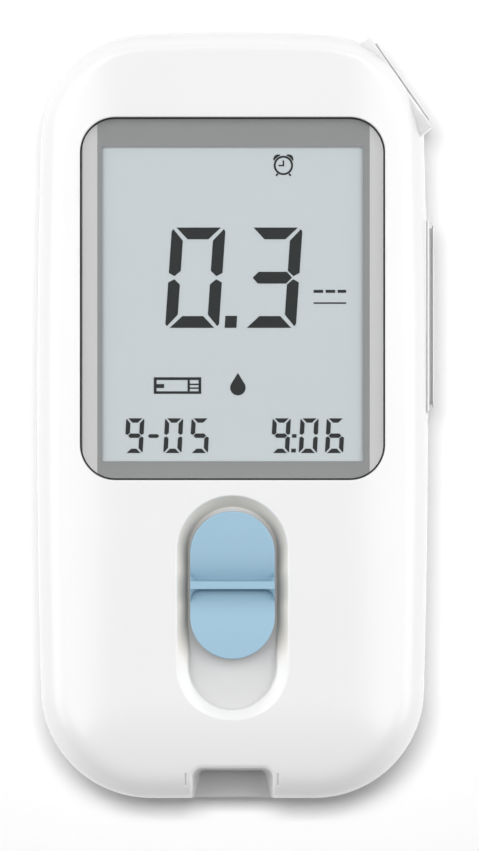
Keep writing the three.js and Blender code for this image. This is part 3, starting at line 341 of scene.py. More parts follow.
def caseRing(inset, arcSteps=40, sideSteps=100, endSteps=34):
    # rounded rectangle drawn in by the inset; sides and top end swell by their crowns
    side = case["width"] / 2 - inset
    top = case["length"] / 2 - case["topCrown"] - inset
    end = np.linspace(0, 1, endSteps + 1)[1:-1]
    ys = bottomY + (topY - bottomY) * np.linspace(0, 1, sideSteps + 1)[1:-1]
    topR, bottomR = case["topRadius"] - inset, case["bottomRadius"] - inset
    x, y = np.concatenate([
        arcPoints(bottomX, bottomY, bottomR, -90, 90, arcSteps),
        np.stack([np.full_like(ys, side), ys], 1),
        arcPoints(topX, topY, topR, 0, 90, arcSteps),
        np.stack([topX - 2 * topX * end, np.full_like(end, top)], 1),
        arcPoints(-topX, topY, topR, 90, 90, arcSteps),
        np.stack([np.full_like(ys, -side), ys[::-1]], 1),
        arcPoints(-bottomX, bottomY, bottomR, 180, 90, arcSteps),
        np.stack([-bottomX + 2 * bottomX * end, np.full_like(end, inset - case["length"] / 2)], 1),
    ]).T
    y = y + np.where(y > topY + 1e-9, case["topCrown"] * crown(x, topX), 0)
    return np.stack([x + np.sign(x) * case["sideCrown"] * crown(y - middleY, halfSide), y], 1)


def caseInset(x, y):
    # inset from the outline: distance to a rounded rectangle once the crowns are taken off
    ax = np.abs(x) - case["sideCrown"] * crown(y - middleY, halfSide)
    ay = np.where(y > topY, y - case["topCrown"] * crown(x, topX), y)
    upper = case["topRadius"] - np.hypot(np.maximum(ax - topX, 0), ay - topY)
    lower = case["bottomRadius"] - np.hypot(np.maximum(ax - bottomX, 0), bottomY - ay)
    return np.where(ay > topY, upper, np.where(ay < bottomY, lower, case["width"] / 2 - ax))


def edgeDrop(inset, reach=case["reach"]):
    # quarter ellipse: its full drop at the outline, nought at its reach
    a = 1 - np.clip(inset / reach, 0, 1)
    return case["drop"] * (1 - np.sqrt(1 - a * a))


def frontReach(x, y):
    # the edge is tighter where the outline faces the top end
    up = np.maximum(y - topY, 0)
    facing = up / np.maximum(np.hypot(np.maximum(np.abs(x) - topX, 0), up), 1e-6)
    return case["reach"] + (case["topReach"] - case["reach"]) * smoothStep(0.35, 0.97, facing)


def keyPlane(x, y):
    # key's own frame: out of the flat, and along it
    dx, dy = x - keyX, y - keyY
    return dx * keyCos + dy * keySin, dy * keyCos - dx * keySin


def keyPoint(out, along):
    # plan place of a point in the key's own frame: the turn of keyPlane undone
    return np.stack([keyX + out * keyCos - along * keySin, keyY + out * keySin + along * keyCos], -1)


def rimHeight(base, x, y):
    # rim along the corner flat: higher at both ends, then falling away inwards; the higher of it and the face
    out, along = keyPlane(x, y)
    half = cornerKey["bossHalf"]
    top = cornerKey["rimTop"] + cornerKey["earRise"] * smoothStep(1.5, 5.0, np.abs(along))
    z = top - cornerKey["rimSlope"] * np.maximum(-out - cornerKey["rimWidth"], 0)
    mask = smoothStep(-half - 0.25, -half + 0.15, along) * (1 - smoothStep(half - 0.15, half + 0.25, along))
    return base + np.maximum(z - base, 0) * mask * smoothStep(-4.0, -3.4, out)


def ledgeHeight(base, x, y):
    # ledge over the rocker: slopes a little outwards, with a fine crease where it leaves the face
    mask = smoothStep(rimLow - 0.3, rimLow + 0.5, y) * (x > 20)
    mask = mask * (1 - smoothStep(rimHigh - 0.5, rimHigh + 0.3, y))
    past = x - rocker["creaseX"]
    z = rocker["rimTop"] - rocker["rimSlope"] * past - rocker["creaseDepth"] * np.exp(-(past / 0.06) ** 2)
    return base + np.maximum(z - base, 0) * mask


def sideFall(x):
    # the face bends down slowly over the last stretch to each side: a parabola
    return case["crownRate"] / 2 * np.maximum(case["crownReach"] - (case["width"] / 2 - np.abs(x)), 0) ** 2


def faceHeight(x, y):
    # front face: the height less the root of the sum of squares of edge drop, end roll and side fall
    past = np.maximum(case["rollLength"] - case["length"] / 2 - y, 0) / case["rollLength"]
    edge = edgeDrop(caseInset(x, y), frontReach(x, y))
    z = case["height"] - np.hypot(np.hypot(edge, case["rollDrop"] * past ** 2), sideFall(x))
    return ledgeHeight(rimHeight(z, x, y), x, y)


def recessDrop(inset, y):
    # beside the slider a steep wall under a soft lip; towards the lower end a wide slope, steepest by the floor
    t = np.clip(inset / recess["steep"], 0, 1)
    steep = np.where(t < 0.1, t * t / 0.2, t - 0.05) / 0.95
    t = np.clip(inset / recess["slope"], 0, 1)
    share = recess["lipShare"]
    late = share * np.minimum(t / 0.92, 1) ** 1.3 + (1 - share) * smoothStep(0.91, 1.0, t)
    low = smoothStep(recess["lowFrom"], recess["lowTo"], y)
    return recess["depth"] * (steep * (1 - low) + late * low)


def notchOutset(x, y):
    # signed distance outside the strip notch, which is open to the lower end
    qx = np.abs(x) - (notch["half"] - notch["radius"])
    return cornerOutset(qx, y - (notch["top"] - notch["radius"])) - notch["radius"]


def tickShare(x, y):
    # fine line beside the notch: a bell across it, soft steps at its ends
    across = (np.abs(x - notch["tickMiddle"]) - notch["tickX"]) / notch["tickWidth"]
    a, b, c, d = notch["tickEnds"]
    return np.exp(-across ** 2) * (smoothStep(a, b, y) - smoothStep(c, d, y))


def frontHeight(x, y):
    # the face, let down in the recess and over the soft lips of window and notch, and at the two ticks
    z = faceHeight(x, y)
    inset = pillInset(x, y, recess)
    z = np.where(inset > 0, np.minimum(z, case["height"] - recessDrop(inset, y)), z)
    z = z - fillet(rectOutset(x, y, window), window["lip"])
    return z - fillet(notchOutset(x, y), notch["lip"]) - notch["tickDepth"] * tickShare(x, y)


def joinPath(points, radius):
    # an open line of points with each inner corner rounded by a quadratic curve
    rows = [points[:1]]
    t = np.linspace(0, 1, 6)[:, None]
    for a, b, c in zip(points[:-2], points[1:-1], points[2:]):
        toA, toC = np.linalg.norm(a - b), np.linalg.norm(c - b)
        p = b + (a - b) / toA * min(radius, toA / 2.2)
        q = b + (c - b) / toC * min(radius, toC / 2.2)
        rows.append((1 - t) ** 2 * p + 2 * t * (1 - t) * b + t ** 2 * q)
    return np.concatenate(rows + [points[-1:]])


def refine(path, spacing):
    # points added so that no step is longer than the spacing
    rows = []
    for a, b in zip(path[:-1], path[1:]):
        n = max(1, int(np.ceil(np.linalg.norm(b - a) / spacing)))
        rows.append(a + (b - a) * (np.arange(n) / n)[:, None])
    return np.concatenate(rows + [path[-1:]])


def boundary(withNotch):
    # the case's plan outline with its two bosses, and with the notch in the front half
    ring = caseRing(0)
    ring = np.roll(ring, -int(np.argmax(ring[:, 0] - 1000 * (ring[:, 1] > mouthY))), 0)
    x, y = ring.T
    out, along = keyPlane(x, y)
    half, rimX = cornerKey["bossHalf"], rocker["rimX"]
    onRim = (x > 20) & (y > rimLow - rocker["areaEdge"]) & (y < rimHigh + rocker["areaEdge"])
    onBoss = (np.abs(along) < half + 0.3) & (out > -4)
    rim = np.array([[rimX - 0.25, rimLow - 0.5], [rimX, rimLow], [rimX, rimHigh], [rimX - 0.25, rimHigh + 0.5]])
    boss = keyPoint(np.array([-1.42, 0, 0, -1.42]), np.array([-half - 0.12, -half, half, half + 0.12]))
    swaps = [(onRim, refine(joinPath(rim, 0.5), 0.35)), (onBoss, refine(joinPath(boss, 0.3), 0.35))]
    if withNotch:
        swaps.append(((np.abs(x) < notch["half"] + 0.2) & (y < -40), notchPath()))
    taken = np.any([mask for mask, _ in swaps], axis=0)
    pieces, last = [], 0
    for mask, path in swaps:
        first = int(np.argmax(mask))
        pieces += [ring[last:first][~taken[last:first]], path]
        last = first
    return np.concatenate(pieces + [ring[last:][~taken[last:]]])


def notchPath(floor=False):
    # from the left end of the mouth round the notch to the right end: two slants, two corners, a straight run
    a, b, y, r = notch["half"] + notch["flare"], notch["half"], notch["top"], notch["radius"]
    if floor:
        a, b, y, r = notch["floorOuter"], notch["floorInner"], notch["floorY"], notch["floorRadius"]
    mouth = np.array([-a, -case["length"] / 2])
    left = mouth + (np.array([-b, y - r]) - mouth) * np.linspace(0, 1, 15)[:-1, None]
    cornerA = arcPoints(-b + r, y - r, r, 180, -90, 10)
    cornerB = arcPoints(b - r, y - r, r, 90, -90, 10)
    across = cornerA[-1] + (cornerB[0] - cornerA[-1]) * np.linspace(0, 1, 17)[1:-1, None]
    return np.concatenate([left, cornerA, across, cornerB, (left * (-1, 1))[::-1]])


def innerRing():
    # the cavity's plan, which goes round the collar behind the notch
    ring = caseRing(case["wall"], 14, 36, 12)
    away = (np.abs(ring[:, 0]) > notch["collar"] + 0.3) | (ring[:, 1] > -40)
    first = np.argmin(np.where(away & (ring[:, 0] > 0) & (ring[:, 1] < -48), ring[:, 0], np.inf))
    order = np.roll(np.arange(len(ring)), -int(first))
    c, y, base = notch["collar"], notch["collarY"], case["wall"] - case["length"] / 2
    bump = refine(np.array([[-c, base], [-c, y], [c, y], [c, base]]), 1.0)
    return np.concatenate([ring[order][away[order]], bump])


def bossArea(x, y):
    # the strip along the corner flat, or the one along the rocker's rim
    out, along = keyPlane(x, y)
    onBoss = (np.abs(along) < cornerKey["bossHalf"] + cornerKey["areaEdge"]) & (out > cornerKey["areaOut"])
    edge = rocker["areaEdge"]
    return onBoss | ((x > rocker["areaX"]) & (y > rimLow - edge) & (y < rimHigh + edge))


def edgeCloud(outline, skip):
    # rings of points down the rounded edge, closer together near the outline, and fine points on the bosses
    angles = np.radians(np.linspace(0, 90, 19))[1:]
    rings = np.concatenate([caseRing(d) for d in case["reach"] * (1 - np.cos(angles))])
    half, step = cornerKey["bossHalf"] + cornerKey["areaEdge"], 0.11
    flatGrid = gridPoints(np.arange(-half, half, step), np.arange(cornerKey["areaOut"], -0.05, step))
    xs = np.concatenate([np.arange(rocker["areaX"], 25.1, 0.12), np.arange(25.1, 25.64, 0.035)])
    ys = np.arange(rimLow - rocker["areaEdge"], rimHigh + rocker["areaEdge"], 0.16)
    bosses = np.concatenate([keyPoint(flatGrid[:, 1], flatGrid[:, 0]), gridPoints(xs, ys)])
    return [rings[~skip(*rings.T)], bosses[ringDistance(bosses, [outline]) > 0.06]]


def onCase(cloud):
    # the cloud's points a little inside the outline, or on a boss
    points = np.concatenate(cloud)
    return points[(caseInset(*points.T) > 0.01) | bossArea(*points.T)]


print("case: front cover")
windowHole = ringOf(window, 0, 20, 50)
ledgeHole = ringOf(ledge, 0, 6, 30)
slotHole = ringOf(slot, 0, 5, 8)


def buildFrontCover():
    outline, inner, path = boundary(True), innerRing(), notchPath()
    cloud = edgeCloud(outline, lambda x, y: bossArea(x, y) | (notchOutset(x, y) < notch["lipRings"][-1]))
    cloud += [ringOf(window, lip, 20, 50) for lip in window["lipRings"]]
    cloud += [pillRing(recess, inset, 36, 18) for inset in np.linspace(-0.25, recess["slope"] + 0.2, 27)]
    along = np.gradient(path, axis=0)
    normal = np.stack([-along[:, 1], along[:, 0]], 1) / np.linalg.norm(along, axis=1)[:, None]
    for lip in notch["lipRings"]:
        shifted = path + normal * lip
        cloud.append(shifted[shifted[:, 1] > mouthY])
    for side in (-1, 1):
        middle = side * notch["tickX"] + notch["tickMiddle"]
        cloud.append(gridPoints(middle + np.linspace(-0.3, 0.3, 11), np.linspace(-48.5, -46.5, 21)))
    # plain grid only where no ring is near
    grid = gridPoints(np.arange(-22, 22, 0.9), np.arange(-48, 48, 0.8), 0.45)
    x, y = grid.T
    pill = pillInset(x, y, recess)
    keep = (caseInset(x, y) > case["reach"] + 0.3) & ~bossArea(x, y) & (notchOutset(x, y) > 0.9)
    keep &= (rectOutset(x, y, window) > 0.8) & ((pill < -0.6) | (pill > recess["slope"] + 0.5))
    shell = Shell()
    shell.sheet(outline, [windowHole, slotHole], frontHeight, np.concatenate([onCase(cloud), grid[keep]]))
    low = outline.copy()
    atMouth = (np.abs(outline[:, 0] + notch["half"] + notch["flare"]) < 1e-6) & (outline[:, 1] < mouthY)
    first = int(np.argmax(atMouth))
    low[first:first + len(path)] = notchPath(True)
    shell.wall(atHeight(outline, frontHeight), atHeight(low, case["parting"]), 5)
    shell.sheet(low, [inner], case["parting"])

    def roof(x, y):
        # one wall below the face, but never above the roof's level or the recess's underside
        z = np.minimum(faceHeight(x, y) - case["frontWall"], case["roof"])
        return np.where(pillInset(x, y, recess) > -0.6, np.minimum(z, recess["underside"]), z)

    shell.sheet(inner, [ledgeHole, slotHole], roof, spacing=1.6)
    shell.drop(inner, case["parting"], roof)
    shell.drop(windowHole, frontHeight, window["seat"], 2)
    shell.sheet(windowHole, [ledgeHole], window["seat"])
    shell.drop(ledgeHole, window["seat"], roof)
    shell.drop(slotHole, case["height"] - recess["depth"], recess["underside"])
    return shell.piece("front_cover_skin")


keyTurn = Matrix(((-keySin, 0, keyCos, keyX * mm), (keyCos, 0, keySin, keyY * mm),
                  (0, 1, 0, cornerKey["z"] * mm), (0, 0, 0, 1)))
sideTurn = Matrix(((0, 0, 1, 0), (1, 0, 0, rocker["cy"] * mm), (0, 1, 0, cornerKey["z"] * mm), (0, 0, 0, 1)))


def openSides(cover):
    # openings for the corner key and the rocker, in each key's own plane
    keyHole = ringOf(cornerKey["cap"], cornerKey["gap"], 6, 2)
    carve(cover, slab(keyHole, cornerKey["cutFrom"], cornerKey["cutTo"], keyTurn))
    rockerHole = ringOf(rocker["cap"], rocker["gap"], 6, 2)
    carve(cover, slab(rockerHole, rocker["pivot"], rocker["cutTo"], sideTurn))


frontCover = buildFrontCover()
openSides(frontCover)
carve(frontCover, slab(ringOf(stripSlot, 0, 12, 24), stripSlot["low"], stripSlot["high"]))

print("case: rear cover")
door = {**between(23.5, -5.2, 44.5, 1.5), "thick": 1.4, "edge": 0.3, "ledge": 1.6, "ceiling": 12.9,
        "blockTop": 13.7, "bayWall": 1.2, "hookX": 9.75, "hookWidth": 1.8, "corner": 0.1,
        "edgeRings": (0.03, 0.08, 0.16, 0.3)}
doorway = between(24.0, -5.45, 44.75, 1.75)
bay = between(22.3, -5.0, 44.6, 0.5)
grip = {"width": 11.0, "length": 5.0, "radius": 2.499, "cy": 39.5, "depth": 0.45, "rib": 0.2, "pitch": 1.1}
label = {"width": 28, "length": 16, "radius": 1.5, "cy": -32, "sunk": 0.25}
screws = {"places": ((-17.5, -38.5), (17.5, -38.5), (-15.5, 41.5)), "head": 2.2, "hole": 1.3, "column": 2.6,
          "seat": 2.2}


def rearHeight(x, y):
    # rear face: the quarter ellipse turned over, capped under the corner flat and the rocker's rim
    z = edgeDrop(caseInset(x, y))
    out, along = keyPlane(x, y)
    onFlat = (np.abs(along) < cornerKey["bossHalf"] + 0.2) & (out > -3)
    return np.where(onFlat | (x > 25.3), np.minimum(z, cornerKey["rearTop"]), z)


def rearFloor(x, y):
    # inside of the rear face: the quarter ellipse raised by the wall
    return edgeDrop(caseInset(x, y)) + case["wall"]


def buildRearCover():
    outline, inner, parting = boundary(False), innerRing(), case["parting"]
    doorRing, bayRing, labelRing = ringOf(doorway, 0, 8, 24), ringOf(bay, 0, 4, 24), ringOf(label, 0, 8, 12)
    block = ringOf(bay, door["bayWall"], 4, 24, 0.25)
    wide, thin, stout = ([disc(x, y, screws[kind], count) for x, y in screws["places"]]
                         for kind, count in (("head", 40), ("hole", 24), ("column", 24)))
    shell = Shell()
    shell.sheet(outline, [doorRing, labelRing] + wide, rearHeight, onCase(edgeCloud(outline, bossArea)))
    shell.drop(outline, rearHeight, parting, 5)
    shell.sheet(outline, [inner], parting)
    shell.drop(doorRing, rearHeight, door["ledge"])
    shell.sheet(doorRing, [bayRing], door["ledge"])
    shell.drop(bayRing, door["ledge"], door["ceiling"])
    shell.sheet(bayRing, [], door["ceiling"])
    shell.drop(labelRing, rearHeight, label["sunk"])
    shell.sheet(labelRing, [], label["sunk"])
    for big, small, column in zip(wide, thin, stout):
        shell.drop(big, rearHeight, screws["seat"])
        shell.sheet(big, [small], screws["seat"])
        shell.drop(small, screws["seat"], parting)
        shell.sheet(column, [small], parting)
        shell.drop(column, rearFloor, parting)
    shell.sheet(inner, [block] + stout, rearFloor, spacing=1.8)
    shell.drop(inner, rearFloor, parting)
    shell.drop(block, rearFloor, door["blockTop"])
    shell.sheet(block, [], door["blockTop"])
    return shell.piece("rear_cover_skin")


rearCover = buildRearCover()
openSides(rearCover)


def finishPiece(obj, body, slot, material, *replaced):
    # material, body, slot (not used) and the CAD nodes that the piece stands for
    obj.data.materials.clear()
    obj.data.materials.append(material)
    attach(obj, body)
    if replaced:
        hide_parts(*replaced)


# shader expressions

class Term:
    # one socket in an expression; operators add Math nodes to its tree
    def __init__(self, tree, socket):
        self.tree, self.socket = tree, socket

    def maths(self, operation, *values, clamp=False):
        node = self.tree.nodes.new("ShaderNodeMath")
        node.operation, node.use_clamp = operation, clamp
        for socket, value in zip(node.inputs, values):
            if isinstance(value, Term):
                self.tree.links.new(value.socket, socket)
            else:
                socket.default_value = value
        return Term(self.tree, node.outputs[0])

    def __add__(self, other): return self.maths("ADD", self, other)
    def __radd__(self, other): return self.maths("ADD", other, self)
    def __sub__(self, other): return self.maths("SUBTRACT", self, other)
    def __rsub__(self, other): return self.maths("SUBTRACT", other, self)
    def __mul__(self, other): return self.maths("MULTIPLY", self, other)
    def __rmul__(self, other): return self.maths("MULTIPLY", other, self)
    def __truediv__(self, other): return self.maths("DIVIDE", self, other)
    def __rtruediv__(self, other): return self.maths("DIVIDE", other, self)
    def __pow__(self, other): return self.maths("POWER", self, other)
    def __lt__(self, other): return self.maths("LESS_THAN", self, other)
    def __gt__(self, other): return self.maths("GREATER_THAN", self, other)
    def __abs__(self): return self.maths("ABSOLUTE", self)
    def modulo(self, other): return self.maths("FLOORED_MODULO", self, other)
    def most(self, other): return self.maths("MAXIMUM", self, other)
    def least(self, other): return self.maths("MINIMUM", self, other)
    def clamped(self): return self.maths("ADD", self, 0.0, clamp=True)


class Recipe:
    # a node tree in the making: every node comes from node(), sums from Term
    def __init__(self, tree):
        self.tree = tree
        tree.nodes.clear()

    def feed(self, socket, value):
        # a term or socket is linked, anything else is set
        source = value.socket if isinstance(value, Term) else value
        if isinstance(source, bpy.types.NodeSocket):
            self.tree.links.new(source, socket)
        else:
            socket.default_value = source

    def node(self, kind, inputs=None, **settings):
        node = self.tree.nodes.new(kind)
        for key, value in settings.items():
            setattr(node, key, value)
        for key, value in (inputs or {}).items():
            self.feed(node.inputs[key], value)
        return node

    def term(self, node, output=0):
        return Term(self.tree, node.outputs[output])


class Finish(Recipe):
    # one material round a Principled shader
    def __init__(self, name, **constants):
        self.material = bpy.data.materials.new(name)
        self.material.use_nodes = True
        super().__init__(self.material.node_tree)
        self.shader = self.node("ShaderNodeBsdfPrincipled")
        self.put(**constants)
        self.node("ShaderNodeOutputMaterial", {"Surface": self.shader.outputs[0]})

    def coordinates(self):
        return self.node("ShaderNodeTexCoord").outputs["Object"]

    def axes(self):
        # object coordinates in millimetres
        split = self.node("ShaderNodeSeparateXYZ", {"Vector": self.coordinates()})
        return [self.term(split, i) * 1000.0 for i in range(3)]

    def noise(self, scale, detail=3.0, rough=0.5, stretch=(1, 1, 1)):
        # scale is in features per metre
        place = self.node("ShaderNodeMapping", {"Vector": self.coordinates(), "Scale": stretch}).outputs[0]
        inputs = {"Scale": scale, "Detail": detail, "Roughness": rough, "Vector": place}
        return self.term(self.node("ShaderNodeTexNoise", inputs, noise_dimensions="3D"))

    def blend(self, factor, a, b):
        return self.node("ShaderNodeMix", {0: factor, 6: a, 7: b}, data_type="RGBA").outputs[2]

    def bump(self, height, strength, distance):
        inputs = {"Height": height, "Strength": strength, "Distance": distance}
        return self.node("ShaderNodeBump", inputs).outputs[0]

    def put(self, **inputs):
        for key, value in inputs.items():
            self.feed(self.shader.inputs[key.replace("_", " ")], value)

    def done(self, colour, gloss, height, strength, distance):
        # colour, roughness and bump put in, and the material handed back
        self.put(Base_Color=colour, Roughness=gloss, Normal=self.bump(height, strength, distance))
        return self.material


def rgb(r, g, b):
    # display values of 0 to 255 made linear
    lin = [(c / 255 / 12.92) if c <= 10 else ((c / 255 + 0.055) / 1.055) ** 2.4 for c in (r, g, b)]
    return (*lin, 1.0)


def mouldedPlastic(name, light, dark, roughness, grain=14000.0, grainDepth=0.000006, coat=0.0, spread=0.06,
                   change=None):
    # slow tint drift, fine grain in the bump, roughness that wanders a little
    finish = Finish(name, IOR=1.5, Coat_Weight=coat, Coat_Roughness=0.2)
    drift = finish.noise(45.0, 2.0)
    fine = finish.noise(grain, 2.0, 0.6)
    rough = finish.noise(900.0, 3.0, 0.6)
    colour = finish.blend((drift * 0.8 + fine * 0.2).clamped(), light, dark)
    gloss = roughness + (rough - 0.5) * spread
    if change:
        colour, gloss = change(finish, colour, gloss, coat)
    return finish.done(colour, gloss, fine + rough * 0.5, 0.35, grainDepth)


def rootSum(x, y):
    # the root of the sum of two squares
    return (x * x + y * y) ** 0.5


def spineDistance(x, y, part):
    # distance to the middle line of a pill
    return rootSum(x, (abs(y - part["cy"]) - (part["length"] - part["width"]) / 2).most(0.0))


def mattRecessPaintedShade(finish, colour, gloss, coat):
    # the recess is left matt, its floor greyed and its wall tinted warm by painted shade: by the distance to
    # its middle line, with soft edges
    x, y = finish.axes()[:2]
    inside = recess["width"] / 2 - recess["slope"] - spineDistance(x, y, recess)
    mattShadedFloor = (inside * 6.0 + 0.5).clamped()
    wall = ((inside + recess["slope"] - 0.1) * 4.0).clamped() * ((y + 33.0) * 0.3).clamped()
    finish.put(Coat_Weight=coat * (1.0 - mattShadedFloor.most(wall)))
    # painted warm shade on the recess wall
    colour = finish.blend(wall * 0.7, colour, rgb(235, 227, 215))
    # painted shade greys the recess floor
    return finish.blend(mattShadedFloor, colour, rgb(213, 213, 213)), gloss + mattShadedFloor * 0.3


def notchFloorPaintedShade(finish, colour, gloss, coat):
    # the floor of the strip notch is left matt and greyed by painted shade
    x, y, z = finish.axes()
    floor = (z > case["parting"] - 0.05) * (y < notch["top"] + 0.1) * (abs(x) < notch["half"] + 0.1)
    finish.put(Coat_Weight=coat * (1.0 - floor))
    # painted shade greys the notch floor
    return finish.blend(floor, colour, rgb(210, 210, 210)), gloss + floor * 0.2


def sliderPaintedShade(finish, colour, gloss, coat):
    # painted shade darkens the slider's sides towards their foot, and its two scoops towards the ridge
    x, y, z = finish.axes()
    footShade = ((knob["footTop"] - z) * 1.2).clamped()
    side = spineDistance(x, y, knob) > knob["width"] / 2 - 0.03
    beside = (abs(y - knob["cy"]) - knob["ridge"]) / knob["shadeReach"]
    ridgeShade = (1.0 - beside).clamped() * (beside > 0.0)
    strength = 0.55 + (y < knob["cy"]) * 0.4
    # painted shade on the scoops, deepest by the ridge
    colour = finish.blend(ridgeShade * ridgeShade * strength, colour, rgb(100, 136, 156))
    # painted shade at the foot of the sides
    return finish.blend(footShade * side, colour, rgb(84, 96, 104)), gloss


def lensFinish():
    # clear hard-coated plastic: nearly all of it is seen through, with fine rub marks in the gloss
    finish = Finish("clear window", IOR=1.49, Base_Color=rgb(70, 74, 76), Alpha=0.05)
    marks = finish.noise(1500.0, 4.0, 0.7)
    finish.put(Roughness=0.04 + marks * 0.05, Normal=finish.bump(marks, 0.1, 0.000002))
    finish.material.surface_render_method = "BLENDED"
    return finish.material


def maskFinish():
    # printed surround: mid grey, with a paler band down each side, and painted shadow as a dark edge under the
    # gap round the lens
    finish = Finish("printed surround", IOR=1.4)
    x, y = finish.axes()[:2]
    side = abs(x - mask["bandMiddle"])
    band = (side > mask["bandFrom"]) * (side < mask["bandTo"])
    grain = finish.noise(9000.0, 2.0)
    speck = (grain * 0.6).clamped()
    paper = finish.blend(speck, rgb(146, 147, 147), rgb(150, 151, 151))
    pale = finish.blend(speck, rgb(208, 208, 208), rgb(211, 211, 211))
    qx = abs(x) - (window["width"] / 2 - window["radius"])
    qy = abs(y - window["cy"]) - (window["length"] / 2 - window["radius"])
    reach = rootSum(qx.most(0.0), qy.most(0.0)) + qx.most(qy).least(0.0)
    # painted shadow of the gap round the lens: a dark edge
    rim = reach > window["radius"] - mask["rim"]
    shade = finish.blend(rim, finish.blend(band, paper, pale), rgb(40, 40, 42))
    return finish.done(shade, 0.55 + (grain - 0.5) * 0.1, grain, 0.1, 0.000003)


def displayFinish():
    # grey-blue reflective film with a barely seen weave of electrode lines
    finish = Finish("display film", IOR=1.4)
    x, y = finish.axes()[:2]
    lines, rows = (abs((v * 3.2).modulo(1.0) - 0.5) * 2.0 for v in (x, y))
    web = (lines ** 12.0 + rows ** 12.0).clamped()
    cloud = finish.noise(120.0, 2.0)
    tone = (cloud * 0.5 + web * 0.12).clamped()
    colour = finish.blend(tone, rgb(207, 215, 218), rgb(202, 211, 214))
    return finish.done(colour, 0.5 + web * 0.05, cloud, 0.05, 0.000003)


def segmentFinish():
    # near-black print with a faint cloud in tone and gloss
    finish = Finish("display segments", IOR=1.4)
    cloud = finish.noise(2500.0, 2.0)
    finish.put(Base_Color=finish.blend(cloud, rgb(29, 32, 32), rgb(35, 38, 38)), Roughness=0.5 + cloud * 0.1)
    return finish.material


def boardFinish():
    # green resist over copper: tracks run on a grid that wanders
    finish = Finish("circuit board", IOR=1.5, Coat_Weight=0.4)
    x, y = finish.axes()[:2]
    wander = finish.noise(160.0, 1.0)
    track = abs((x * 1.6 + wander * 5.0).modulo(1.0) - 0.5) < 0.17
    second = abs((y * 1.1 + wander * 3.0).modulo(1.0) - 0.5) < 0.12
    tracks = (track + second).clamped()
    weave = finish.noise(2600.0, 2.0)
    base = finish.blend((tracks * 0.75 + weave * 0.2).clamped(), rgb(16, 74, 44), rgb(38, 122, 72))
    return finish.done(base, 0.35 + weave * 0.15, tracks, 0.4, 0.00003)


def metalFinish(name, light, dark, roughness):
    # drawn metal: noise stretched along one way in colour, roughness and bump
    finish = Finish(name, Metallic=1.0)
    lines = finish.noise(1.0, 3.0, 0.6, (600, 9000, 9000))
    spots = finish.noise(700.0, 3.0, 0.6)
    colour = finish.blend((lines * 0.7 + spots * 0.3).clamped(), light, dark)
    return finish.done(colour, roughness + (lines - 0.5) * 0.15, lines, 0.25, 0.000008)


def rubberFinish():
    # layers of conductive and plain rubber along the strip
    finish = Finish("layered rubber", IOR=1.45)
    x = finish.axes()[0]
    layer = abs((x * 5.0).modulo(1.0) - 0.5) < 0.25
    grain = finish.noise(6000.0, 3.0)
    colour = finish.blend(layer, rgb(66, 66, 70), rgb(28, 28, 30))
    return finish.done(colour, 0.8 + grain * 0.1, grain, 0.3, 0.00002)


def sleeveFinish():
    # shrink sleeve of a cell: dark with a metallic end band and a thin line
    finish = Finish("cell sleeve", IOR=1.5, Coat_Weight=0.6, Coat_Roughness=0.1)
    y = finish.axes()[1]
    drift = finish.noise(300.0, 3.0)
    tone = finish.blend(y > 30.0, rgb(46, 52, 62), rgb(168, 128, 84))
    tone = finish.blend(abs(y - 29.0) < 0.3, tone, rgb(220, 220, 220))
    colour = finish.blend(drift * 0.15, tone, rgb(20, 22, 26))
    return finish.done(colour, 0.3 + (drift - 0.5) * 0.1, drift, 0.15, 0.00002)


def paperFinish():
    # plain label: pale stock with a thin printed border and faint rules inside it
    finish = Finish("rear label stock", IOR=1.45)
    x, y = finish.axes()[:2]
    down = y - label["cy"]
    reach = (abs(x) - (label["width"] / 2 - 1.2)).most(abs(down) - (label["length"] / 2 - 1.2))
    border = abs(reach) < 0.12
    rule = (abs(down.modulo(2.4) - 1.2) < 0.09) * (reach < -1.0)
    fibre = finish.noise(5000.0, 4.0, 0.7)
    stock = finish.blend(fibre, rgb(222, 222, 223), rgb(212, 212, 214))
    inked = finish.blend((border + rule * 0.35).clamped(), stock, rgb(120, 122, 126))
    return finish.done(inked, 0.6 + (fibre - 0.5) * 0.15, fibre, 0.2, 0.000008)


white = {"light": rgb(234, 234, 234), "dark": rgb(230, 230, 230), "roughness": 0.34, "coat": 0.6}
whitePlastic = mouldedPlastic("white gloss shell", change=notchFloorPaintedShade, **white)
frontPlastic = mouldedPlastic("white gloss front", change=mattRecessPaintedShade, **white)
keyPlastic = mouldedPlastic("white key caps", rgb(236, 236, 236), rgb(231, 231, 231), 0.34)
bluePlastic = mouldedPlastic("pale blue slider", rgb(154, 188, 208), rgb(150, 185, 206), 0.42, grain=9000.0,
                             grainDepth=0.00001, change=sliderPaintedShade)
innerPlastic = mouldedPlastic("inner frame plastic", rgb(226, 226, 221), rgb(216, 216, 210), 0.5)
blackPlastic = mouldedPlastic("black moulding", rgb(30, 30, 32), rgb(22, 22, 24), 0.5, spread=0.14)
displayFilm = displayFinish()
steel = metalFinish("drawn steel", rgb(200, 202, 205), rgb(168, 170, 174), 0.3)
brass = metalFinish("spring brass", rgb(214, 180, 110), rgb(190, 152, 84), 0.32)

finishPiece(frontCover, "case", "white_plastic", frontPlastic, "front_cover")
finishPiece(rearCover, "case", "white_plastic", whitePlastic, "rear_cover")

# window, surround and display

print("window and display")
lens = {"width": 39.2, "length": 46.7, "radius": 4.35, "cy": window["cy"], "low": 20.8, "high": 21.9,
        "edge": 0.14, "edgeRings": (0.02, 0.05, 0.09, 0.14)}
mask = {"width": 33.9, "length": 40.9, "radius": 0.15, "cy": 14.4, "low": 20.5, "high": 20.78, "gap": 0.03,
        "bandMiddle": 0.13, "bandFrom": 17.72, "bandTo": 19.62, "rim": 0.24}
displayPlate = {"width": 34.9, "length": 41.9, "radius": 0.3, "cy": 14.4, "low": 19.601, "top": 20.44}


